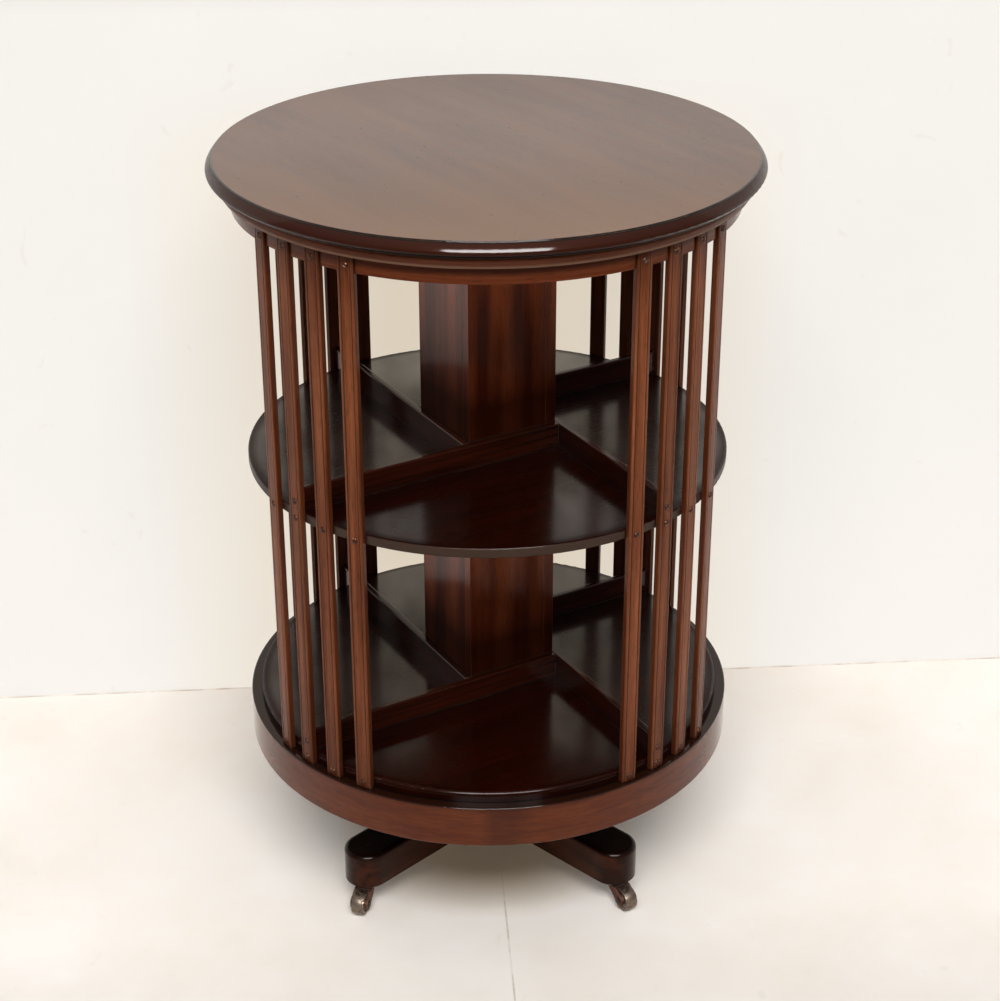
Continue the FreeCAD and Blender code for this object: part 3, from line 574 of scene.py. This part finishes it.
# %% [markdown]
# All the layers meet in one recipe, with an argument for whatever differs between the
# parts.  A graph drawn by hand for each finish would be clearer to look at, but eleven of
# them would have to be changed whenever one layer changes.

# %% The mahogany recipe
PORE_DEPTH = 0.03 * MM
AMBER = "#C87040"


def mahogany(name, grain_of, dark, light, worn, ribbon=0.35, ribbon_width=16 * MM, run=1.0,
             pore_depth=0.4, vary=0.0, tint=None, corners="#0C0503", wear=0.5, patches=0.0,
             under=0.01, coat=1.0, polish=0.07, shine=1.5, scratches=0.0, dents=0.0):
    """French-polished mahogany.

    The wood: `grain_of` lays the grain, `dark`, `light` and `worn` are its colours,
    `run` makes its streaks longer or shorter, `vary` sets pieces apart, and `tint`
    shades parts of the piece, with its own colour and with painted light and shade.  Its
    age: the colour of its `corners`, which are darkened with painted shade and grime, its
    `wear` and its `patches`.  The finish: the shine `under` the coat, and the coat's
    weight, roughness, IOR and damage.
    """
    made, tree, out = blank(name)
    grain = grain_of(tree)
    wood, streaks, pores = bare_wood(tree, grain, dark, light, ribbon, ribbon_width, run,
                                     pore_depth)
    if vary:
        own = add(tree, "ObjectInfo").outputs["Random"]
        brighter = spread(tree, own, 0, 1, 1 - vary, 1 + vary)
        wood = add(tree, "HueSaturation", {"Color": wood, "Value": brighter}).outputs["Color"]
    if tint:
        wood = tint(tree, wood)
    soft, agree = arris(tree, EDGE_RADIUS)
    wood = aged_and_shaded(tree, wood, grain, agree, corners, worn, wear, patches)
    skin = polish_skin(tree, grain, soft, scratches, dents)
    shader = add(tree, "BsdfPrincipled", {
        "Base Color": wood, "Roughness": spread(tree, streaks, 0.0, 1.0, 0.42, 0.55),
        "Normal": bumped(tree, pores, -PORE_DEPTH, skin),
        "Specular IOR Level": under, "Specular Tint": colour(AMBER),
        "Coat Weight": coat(tree) if callable(coat) else coat,
        "Coat Roughness": polish, "Coat IOR": shine, "Coat Normal": skin})
    tree.links.new(shader.outputs["BSDF"], out.inputs["Surface"])
    return made


print("pores", round(PORE_DEPTH / MM, 2), "mm deep")

# %% [markdown]
# ## The top
#
# The top's flat has been bleached by a century of daylight to a soft mid brown, and
# painted light makes it paler still towards the front, while its moulded nose still has
# the old dark polish.  Two materials on two sets of faces could do that.  One material
# that goes by the distance from the middle leaves the mesh alone and puts the change
# exactly in the quirk, the narrow groove that rings the flat, which painted shade darkens.
#
# The polish is thinner on the nose, which is handled, and towards the back, and the
# underside has hardly any.

# %% The top's wood
QUIRK_RADIUS = 273.8 * MM
TOP_GRAIN = 95  # degrees
DING_LENGTH, DING_WIDTH = 6 * MM, 3 * MM
# Painted light: between these distances towards the front the flat grows paler.
FRONT_LIGHT_FROM, FRONT_LIGHT_TO = 40 * MM, 250 * MM  # towards the front
THIN_FROM, THIN_TO = 20 * MM, -250 * MM  # towards the back
UNDERSIDE = (-0.95, -0.7, 0.1, 1.0)  # a coat's weight falls to a tenth on faces that look down


def dark_nose(tree, wood):
    """Pales the flat towards the front with painted light, dings it, keeps the dark nose outside
    the quirk, and paints shade in the quirk itself.
    """
    outside = spread(tree, from_axis(tree), QUIRK_RADIUS, QUIRK_RADIUS + 0.8 * MM)
    knocks = stretched(tree, straight_grain(TOP_GRAIN)(tree), DING_LENGTH, DING_WIDTH, 0.0)
    # Painted light, paler towards the front of the flat.
    front_light = spread(tree, from_front(tree)["X"], FRONT_LIGHT_FROM, FRONT_LIGHT_TO, 0.0, 0.55)
    wood = blend(tree, front_light, wood, colour("#845E3E"))
    wood = blend(tree, spread(tree, knocks, 0.84, 0.87, 0, 0.7), wood, colour("#2A1A12"))
    wood = blend(tree, outside, wood, colour("#32140A"))
    # Painted shade: a dark ring in the quirk, the groove that rings the flat.
    inner = spread(tree, from_axis(tree), QUIRK_RADIUS - 1.4 * MM, QUIRK_RADIUS - 0.6 * MM)
    outer = spread(tree, from_axis(tree), QUIRK_RADIUS + 1.6 * MM, QUIRK_RADIUS + 1 * MM)
    return blend(tree, times(tree, inner, outer), wood, colour("#140A05"))


def worn_nose_coat(tree):
    """The weight of the top's coat."""
    weight = spread(tree, from_axis(tree), QUIRK_RADIUS, QUIRK_RADIUS + 0.8 * MM, 0.97, 0.46)
    weight = times(tree, weight, spread(tree, upwardness(tree), *UNDERSIDE))
    whole = spread(tree, from_front(tree)["X"], THIN_TO, THIN_FROM, 0.72, 1.0)
    return times(tree, weight, whole)


top_wood = mahogany(
    "faded_mahogany_top", straight_grain(TOP_GRAIN), "#4B2A17", "#6E4528", "#8A6A52",
    ribbon=0.5, ribbon_width=38 * MM, pore_depth=0.25, tint=dark_nose, corners="#1C100A", wear=0.3,
    under=0.07, coat=worn_nose_coat, polish=0.085, dents=0.04 * MM)
print("quirk at", round(QUIRK_RADIUS / MM, 1), "mm")

# %% [markdown]
# ## Cornice and frieze
#
# The cornice is a moulding bent round under the top, and the frieze is the plain ring
# below it.  Their grain runs round with them.  A pale painted highlight runs along the
# cornice's lower lip, because it sticks out, and a painted shadow of the cornice darkens
# the frieze just under it.  Height alone finds both places.

# %% The rings under the top
CORNICE_RADIUS = 265 * MM
FRIEZE_RADIUS = 257 * MM
LIP_TOP, LIP_FOOT = 795.8 * MM, 793.6 * MM
SHADE_FOOT, SHADE_TOP = 778 * MM, 792 * MM


def lip_highlight(tree, wood):
    """Paints a pale highlight along the cornice's lower lip."""
    lip = spread(tree, height_of(tree), LIP_TOP, LIP_FOOT, 0.0, 0.8)
    return blend(tree, lip, wood, colour("#A07A62"))


def shadow_under_cornice(tree, wood):
    """Paints the cornice's shadow on the frieze, darkest towards the moulding above it."""
    shaded = spread(tree, height_of(tree), SHADE_FOOT, SHADE_TOP, 0.0, 0.7)
    return blend(tree, shaded, wood, colour("#36180C"))


# The cornice's strong pale arrises are a painted highlight as well as wear.
cornice_wood = mahogany(
    "dark_polished_cornice", round_grain(CORNICE_RADIUS), "#562C1C", "#7E4C38", "#B08C74",
    ribbon=0.3, ribbon_width=9 * MM, tint=lip_highlight, corners="#24140D", wear=0.8,
    coat=0.26, polish=0.12, shine=1.25)
frieze_wood = mahogany(
    "polished_mahogany_frieze", round_grain(FRIEZE_RADIUS), "#5E2A14", "#8A4A2A", "#AA6A44",
    ribbon=0.3, ribbon_width=9 * MM, tint=shadow_under_cornice, corners="#24140D", shine=1.27)
print("cornice lip at", round(LIP_FOOT / MM, 1), "mm")

# %% [markdown]
# ## The plinth
#
# The ring round the foot is bumped by shoes and brooms, so it has more dents than the
# rest and is short of long, clean streaks.  Polish was once made good right of its
# middle and has stayed darker there.  Its ledge and its top edge, under the shelf's
# nosing, are darkened with painted shade and with grime that a duster doesn't reach.

# %% The plinth's wood
PLINTH_RADIUS = 265.5 * MM
TOP_EDGE_FOOT, TOP_EDGE = 203 * MM, 209 * MM
SHADE_AND_GRIME = "#1C0C07"


def plinth_patch(tree, wood):
    """A darker patch on the front, and painted shade and grime on the ledge and along the top edge.
    """
    part = from_front(tree)
    left_side = spread(tree, part["Y"], -10 * MM, 4 * MM)
    right_side = spread(tree, part["Y"], 48 * MM, 24 * MM)
    patch = times(tree, times(tree, left_side, right_side), spread(tree, part["X"], 0.0, 1 * MM))
    wood = blend(tree, times(tree, patch, 0.38), wood, colour("#2A0D05"))
    # Painted shade and grime on the upward faces, the ledge under the shelf's nosing.
    wood = blend(tree, spread(tree, upwardness(tree), 0.1, 0.6, 0.0, 0.9), wood, colour(SHADE_AND_GRIME))
    top_edge = spread(tree, height_of(tree), TOP_EDGE_FOOT, TOP_EDGE, 0.0, 0.55)
    return blend(tree, top_edge, wood, colour(SHADE_AND_GRIME))


plinth_wood = mahogany(
    "polished_mahogany_plinth", round_grain(PLINTH_RADIUS), "#50200D", "#6F3618", "#9A6244",
    ribbon=0.4, ribbon_width=20 * MM, run=0.3, tint=plinth_patch, wear=0.3, shine=1.3,
    dents=0.1 * MM)
print("plinth ring of", round(PLINTH_RADIUS / MM, 1), "mm")

# %% [markdown]
# ## The slats
#
# The slats are straight-grained and a little lighter than the rest, and no two are cut
# from the same place: each takes its own piece of the grain and its own brightness
# from its object's random number.  Painted shade darkens their narrow sides, and they
# grow darker towards both ends, so a slat looks framed.

# %% The slats' wood
SLAT_SHADE_AND_DARK = "#3A180C"
SLAT_FOOT, LOW_END_TOP = 200 * MM, 320 * MM
HIGH_END_FOOT, SLAT_TOP = 740 * MM, 790 * MM


def outwardness(tree):
    """1 on faces that look straight out from the case's axis, 0 on faces across that."""
    level = add(tree, "VectorMath", {0: place_on(tree), 1: (1, 1, 0)}, operation="MULTIPLY")
    outwards = add(tree, "VectorMath", {0: level.outputs["Vector"]}, operation="NORMALIZE")
    flat = add(tree, "NewGeometry").outputs["Normal"]
    return add(tree, "VectorMath", {0: flat, 1: outwards.outputs["Vector"]},
               operation="DOT_PRODUCT").outputs["Value"]


def slat_side_shade_and_dark_ends(tree, wood):
    """Paints shade on a slat's narrow sides, and darkens it towards both ends."""
    low_end = spread(tree, height_of(tree), SLAT_FOOT, LOW_END_TOP, 0.6, 0.0)
    high_end = spread(tree, height_of(tree), HIGH_END_FOOT, SLAT_TOP, 0.0, 0.6)
    wood = blend(tree, larger(tree, low_end, high_end), wood, colour(SLAT_SHADE_AND_DARK))
    # Painted shade on the narrow sides, which look across rather than out.
    return blend(tree, spread(tree, outwardness(tree), 0.2, 0.8, 0.6, 0.0), wood, colour(SLAT_SHADE_AND_DARK))


slat_wood = mahogany(
    "mahogany_slat", upright_grain, "#5A2A13", "#9A5937", "#B88058",
    ribbon=0.5, ribbon_width=7 * MM, vary=0.14, tint=slat_side_shade_and_dark_ends, corners="#44200F",
    wear=0.3, shine=1.2)
print("slat finish", slat_wood.name)

# %% [markdown]
# ## The column
#
# The column's boards were picked for their figure, so the ribbon rules over the
# streaks.  Low in each bay the light is poor, and painted shade darkens the wood there,
# and books have stood against the boards, which has left the polish dull.  The same
# measure of height paints the one and thins the other.

# %% The column's wood
SHELF_TOPS = (220.5 * MM, 502.5 * MM)


def low_in_bay(tree):
    """1 low in either book bay, fading out two thirds of the way up it."""
    found = []
    for shelf_top in SHELF_TOPS:
        fading = spread(tree, height_of(tree), shelf_top + 60 * MM, shelf_top + 190 * MM, 1, 0)
        above = spread(tree, height_of(tree), shelf_top - 1 * MM, shelf_top)
        found.append(times(tree, above, fading))
    return larger(tree, *found)


def shade_low_in_bay(tree, wood):
    """Paints shade on the column, deepest towards each shelf."""
    return blend(tree, times(tree, low_in_bay(tree), 0.94), wood, colour("#180401"))


def dull_bay_floor(tree):
    """Thins the column's coat towards each shelf."""
    return spread(tree, low_in_bay(tree), 0, 1, 1.0, 0.15)


column_wood = mahogany(
    "ribbon_mahogany_column", upright_grain, "#702A13", "#D06A3C", "#8A5236",
    ribbon=0.85, ribbon_width=24 * MM, tint=shade_low_in_bay, corners="#2A1A14",
    under=0.04, coat=dull_bay_floor, polish=0.14, shine=1.28)
print("shelves at", [round(top / MM, 1) for top in SHELF_TOPS], "mm")

# %% [markdown]
# ## Shelves and book stops
#
# The shelves kept out of the light and stayed nearly black-brown, with the best polish
# on the case at the back, where hands seldom reach.  Books have dulled it in patches and
# left long fine scratches, the rims are rubbed, and the edge of the middle shelf is
# greyed with a painted sheen.  The stops are strips of the same wood, with a pale line
# along their top arris that is wear and a painted highlight together.

# %% The dark wood
RUBBED_FROM, RUBBED_TO = 242 * MM, 250 * MM
RIM_FROM, RIM_TO = 253.2 * MM, 253.8 * MM
BETWEEN_SHELVES = 400 * MM
BOOK_MARK_LENGTH, BOOK_MARK_WIDTH = 90 * MM, 40 * MM


def dull_shelf(tree):
    """The weight of a shelf's coat: whole at the back, thin at the rim and where books stood."""
    stood = stretched(tree, straight_grain(60)(tree), BOOK_MARK_LENGTH, BOOK_MARK_WIDTH, 1.5)
    whole = spread(tree, from_front(tree)["X"], -80 * MM, -180 * MM, 0.0, 0.7)
    patchy = spread(tree, stood, 0.3, 0.7, 0.45, 0.95)
    weight = add(tree, "Math", {0: patchy, 1: whole}, operation="ADD").outputs["Value"]
    rubbed = spread(tree, from_axis(tree), RUBBED_FROM, RUBBED_TO, 1.0, 0.34)
    weight = times(tree, weight, rubbed)
    return times(tree, weight, spread(tree, upwardness(tree), *UNDERSIDE))


def rim_sheen(tree, wood):
    """Greys the very edge of the middle shelf with a painted sheen."""
    # Painted sheen on the rim of the middle shelf.
    rim = spread(tree, from_axis(tree), RIM_FROM, RIM_TO, 0.0, 0.6)
    upper = add(tree, "Math", {0: height_of(tree), 1: BETWEEN_SHELVES}, operation="GREATER_THAN")
    return blend(tree, times(tree, rim, upper.outputs["Value"]), wood, colour("#54443A"))


def stop_mahogany(name, direction):
    """The wood of a stop that lies along `direction` degrees."""
    # Strong wear on dark wood: the pale arrises are a painted highlight as well as wear.
    return mahogany(name, straight_grain(direction), "#1A0602", "#3E1507", "#8A6450",
                    ribbon=0.3, corners="#1A1412", wear=1.0, polish=0.12, shine=1.36)


shelf_wood = mahogany(
    "dark_mahogany_shelf", straight_grain(0), "#120200", "#260601", "#5E3A2C",
    ribbon=0.4, ribbon_width=24 * MM, tint=rim_sheen, corners="#100A08", wear=0.25,
    under=0.05, coat=dull_shelf, polish=0.16, scratches=0.014 * MM)
stop_along = stop_mahogany("dark_mahogany_stop_along", 0)
stop_across = stop_mahogany("dark_mahogany_stop_across", 90)
print("shelf and stop finishes", shelf_wood.name, stop_along.name, stop_across.name)

# %% [markdown]
# ## The feet
#
# The two bars of the cross are thick, plain and close to the floor.  Shoes and mops
# have worn the polish to half a shine, bared patches of wood along their sides, and
# blackened their rounded ends.  Their tops, under the drum, are blackened with painted
# shade.

# %% The feet's wood
BASE_TURN = 15.6  # degrees from the case's X to the lower bar
BAR_END_FROM, BAR_END_TO = 150 * MM, 200 * MM


def shaded_tops_dark_ends(tree, wood):
    """Darkens the tops of the bars with painted shade, and blackens their ends."""
    # Painted shade: the tops, under the drum, go nearly black.
    wood = blend(tree, spread(tree, upwardness(tree), 0.3, 0.7, 0.0, 0.9), wood, colour("#0A0302"))
    ends = spread(tree, from_axis(tree), BAR_END_FROM, BAR_END_TO, 0.0, 0.7)
    return blend(tree, ends, wood, colour("#160B07"))


def foot_mahogany(name, direction):
    """The wood of a bar that lies along `direction` degrees."""
    return mahogany(name, straight_grain(direction), "#200C05", "#4C220D", "#5C2E16",
                    ribbon=0.4, run=0.5, tint=shaded_tops_dark_ends, patches=0.4,
                    under=0.05, polish=0.2, shine=1.18, dents=0.2 * MM)


foot_lower = foot_mahogany("worn_mahogany_foot_lower", BASE_TURN)
foot_upper = foot_mahogany("worn_mahogany_foot_upper", BASE_TURN + 90)
print("foot finishes", foot_lower.name, foot_upper.name)

# %% [markdown]
# ## Metal
#
# The iron fittings are dark from age, with a brown bloom of rust.  The castors' wheels
# are cast metal whose treads the floor has rubbed bright.  Rust is not a metal but a
# dull crust over one, so where it lies the material is both rougher and less metallic.
# One patchy noise drives all three changes, which keeps them together.

# %% Iron
METAL_EDGE = 0.8 * MM
PIT_DEPTH = 0.15 * MM


def old_metal(name, dull, rust, bright, rust_amount, rough_low, rough_high, spot=6 * MM):
    """Aged metal: dull skin, patches of rust, and bright worn edges."""
    made, tree, out = blank(name)
    patches = noise(tree, place_on(tree), spot, 4.0)
    rusty = spread(tree, patches, 0.62 - rust_amount * 0.3, 0.78 - rust_amount * 0.3)
    soft, agree = arris(tree, METAL_EDGE)
    skin = blend(tree, rusty, colour(dull), colour(rust))
    skin = blend(tree, spread(tree, agree, 0.99, 0.85, 0.0, 0.6), skin, colour(bright))
    shader = add(tree, "BsdfPrincipled", {
        "Base Color": skin, "Metallic": spread(tree, rusty, 0.0, 1.0, 1.0, 0.25),
        "Roughness": spread(tree, rusty, 0.0, 1.0, rough_low, rough_high),
        "Normal": bumped(tree, patches, PIT_DEPTH, soft)})
    tree.links.new(shader.outputs["BSDF"], out.inputs["Surface"])
    return made


black_iron = old_metal("blackened_iron", "#2E2A28", "#4A2E20", "#6E6862",
                       rust_amount=0.3, rough_low=0.4, rough_high=0.8)
screw_iron = old_metal("old_screw_iron", "#2A1C16", "#3A2016", "#8A7868",
                       rust_amount=0.4, rough_low=0.35, rough_high=0.7, spot=2 * MM)
horn_metal = old_metal("rusty_castor_iron", "#463228", "#5E2E1A", "#9A8678",
                       rust_amount=0.8, rough_low=0.4, rough_high=0.75, spot=4 * MM)
wheel_metal = old_metal("cast_castor_wheel", "#7C7064", "#553A2A", "#C0B4A4",
                        rust_amount=0.45, rough_low=0.35, rough_high=0.7, spot=3 * MM)
head_finish = old_metal("polished_over_screw", "#5A301C", "#3A1A0E", "#8E6448",
                        rust_amount=0.75, rough_low=0.3, rough_high=0.5, spot=2 * MM)
print("five metals")

# %% [markdown]
# ## Each part gets its finish
#
# The measured parts have plain materials on their meshes.  A mesh can't be changed
# here, so each slot is switched to take its material from the object instead.  A table
# gives the finish by the part's full name or, for parts that come in numbers, by how
# the name starts; what is left is black iron.

# %% Finishes
FINISHES = {
    "top_board": top_wood, "cornice_moulding": cornice_wood, "frieze_ring": frieze_wood,
    "plinth_ring": plinth_wood, "bottom_shelf": shelf_wood, "middle_shelf": shelf_wood,
    "foot_bar_lower": foot_lower, "foot_bar_upper": foot_upper, "hub_block": foot_lower,
    "bearer_block": foot_lower, "castor_plates": horn_metal, "slat_screws": screw_iron,
}
for number in range(1, 5):
    for tier in ("lower", "upper"):
        FINISHES[f"book_stop_{tier}_{number}"] = stop_along if number % 2 else stop_across
    FINISHES[f"castor_{number}_horn"] = horn_metal
    FINISHES[f"castor_{number}_wheel"] = wheel_metal
    FINISHES[f"castor_{number}_axle"] = screw_iron
BY_START = {"slat_": slat_wood, "column_": column_wood}


def finish_of(name):
    """The finish of a part, by its full name or by how its name starts."""
    if name in FINISHES:
        return FINISHES[name]
    fitting = [made for start, made in BY_START.items() if name.startswith(start)]
    return fitting[0] if fitting else black_iron


for name, part in nodes.items():
    for material_slot in part.material_slots:
        material_slot.link = "OBJECT"
        material_slot.material = finish_of(name)
print("finished", len(nodes), "parts")

# %% [markdown]
# ## Screws
#
# The measured screws are plain round heads.  A real one has a slot, and here the
# polisher went over the heads with the wood, so they are dark brown with a bright rim.
# The slot could be cut with a boolean, but two cuts along its sides and a strip pushed
# in between them give a cleaner mesh.  Each head sits where the measured one does,
# turned to a slot angle of its own.

# %% A slotted head
HEAD_SEGMENTS, HEAD_RINGS = 24, 12
SLOT_SHARE = 0.16  # the slot's width, as a share of the head's
SLOT_DEPTH = 0.45  # as a share of the head's rise
WELD = 0.01 * MM


def slotted_head(radius, rise):
    """A dome on the XY plane with a slot along Y, as a mesh."""
    made = bmesh.new()
    bmesh.ops.create_uvsphere(made, u_segments=HEAD_SEGMENTS, v_segments=HEAD_RINGS, radius=radius)
    whole = made.verts[:] + made.edges[:] + made.faces[:]
    bmesh.ops.bisect_plane(made, geom=whole, plane_co=(0, 0, 0), plane_no=(0, 0, 1),
                           clear_inner=True)
    for side in (-1, 1):
        whole = made.verts[:] + made.edges[:] + made.faces[:]
        cut = (side * radius * SLOT_SHARE, 0, 0)
        bmesh.ops.bisect_plane(made, geom=whole, plane_co=cut, plane_no=(1, 0, 0))
    bmesh.ops.scale(made, vec=(1, 1, rise / radius), verts=made.verts)
    strip = [f for f in made.faces if abs(f.calc_center_median().x) < radius * SLOT_SHARE]
    pushed = bmesh.ops.extrude_face_region(made, geom=strip)
    bmesh.ops.delete(made, geom=strip, context="FACES_ONLY")
    down = [v for v in pushed["geom"] if isinstance(v, bmesh.types.BMVert)]
    bmesh.ops.translate(made, vec=(0, 0, -rise * SLOT_DEPTH), verts=down)
    for vert in made.verts:
        vert.co.z = max(vert.co.z, 0.0)
    bmesh.ops.remove_doubles(made, verts=made.verts, dist=WELD)
    mesh = bpy.data.meshes.new("slotted_head")
    made.to_mesh(mesh)
    made.free()
    return mesh


def screws(name, places, radius, rise, material, seed):
    """Puts a slotted head at each (point, outward direction), with a slot angle of its own."""
    head = slotted_head(radius, rise)
    rng = random.Random(seed)
    made = bmesh.new()
    for point, outward in places:
        first = len(made.verts)
        made.from_mesh(head)
        made.verts.ensure_lookup_table()
        turn = outward.to_track_quat("Z", "Y").to_matrix().to_4x4()
        slot_turn = Matrix.Rotation(rng.uniform(0, math.pi), 4, "Z")
        placing = Matrix.Translation(point) @ turn @ slot_turn
        bmesh.ops.transform(made, matrix=placing, verts=made.verts[first:])
    mesh = bpy.data.meshes.new(name)
    made.to_mesh(mesh)
    made.free()
    mesh.materials.append(material)
    for face in mesh.polygons:
        face.use_smooth = True
    piece = bpy.data.objects.new(name, mesh)
    scene.collection.objects.link(piece)
    return piece


print("a slot", SLOT_SHARE, "of the head's width")

# %% [markdown]
# The measured heads are one mesh of 56 lumps.  Walking from corner to corner along the
# edges finds each lump, and its middle and its innermost corner say where the new head
# goes and how deep it sits.

# %% Slat screws
SLAT_HEAD_RADIUS = 3.4 * MM
SLAT_HEAD_RISE = 1.75 * MM


def islands(mesh):
    """The separate lumps of a mesh, each as a list of its corners."""
    made = bmesh.new()
    made.from_mesh(mesh)
    bmesh.ops.remove_doubles(made, verts=made.verts, dist=WELD)
    found, lumps = set(), []
    for start in made.verts:
        if start in found:
            continue
        found.add(start)
        lump, edge = [], [start]
        while edge:
            vert = edge.pop()
            lump.append(vert.co.copy())
            for near in (e.other_vert(vert) for e in vert.link_edges):
                if near not in found:
                    found.add(near)
                    edge.append(near)
        lumps.append(lump)
    made.free()
    return lumps


slat_screw_places = []
for lump in islands(nodes["slat_screws"].data):
    middle = sum(lump, Vector()) / len(lump)
    outward = Vector((middle.x, middle.y, 0.0)).normalized()
    foot = min(corner.dot(outward) for corner in lump)
    slat_screw_places.append((middle + outward * (foot - middle.dot(outward)), outward))
slat_heads = screws("slat_screw_heads", slat_screw_places, SLAT_HEAD_RADIUS, SLAT_HEAD_RISE,
                    head_finish, seed=11)
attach(slat_heads, "drum")
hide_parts("slat_screws")
print(len(slat_screw_places), "slat screws")

# %% [markdown]
# Each castor hangs from a plate that three small screws hold to the foot.  They show
# only from below, on a ring outside the swivelling boss, and the same slotted head
# serves, smaller and flatter.

# %% Castor plate screws
PIN_REACH = 192 * MM
PLATE_UNDERSIDE = 27 * MM
PLATE_SCREW_RING = 13.2 * MM
PLATE_HEAD_RADIUS = 2.6 * MM
PLATE_HEAD_RISE = 0.7 * MM

plate_screw_places = []
for arm in range(4):
    arm_angle = math.radians(BASE_TURN + 90 * arm)
    pin = Vector((math.cos(arm_angle), math.sin(arm_angle), 0.0)) * PIN_REACH
    for third in range(3):
        angle = arm_angle + math.radians(60 + 120 * third)
        ring = Vector((math.cos(angle), math.sin(angle), 0.0)) * PLATE_SCREW_RING
        under_plate = pin + ring + Vector((0, 0, PLATE_UNDERSIDE))
        plate_screw_places.append((under_plate, Vector((0, 0, -1))))
plate_heads = screws("castor_plate_screws", plate_screw_places, PLATE_HEAD_RADIUS,
                     PLATE_HEAD_RISE, screw_iron, seed=5)
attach(plate_heads, "base")
print(len(plate_screw_places), "castor plate screws")
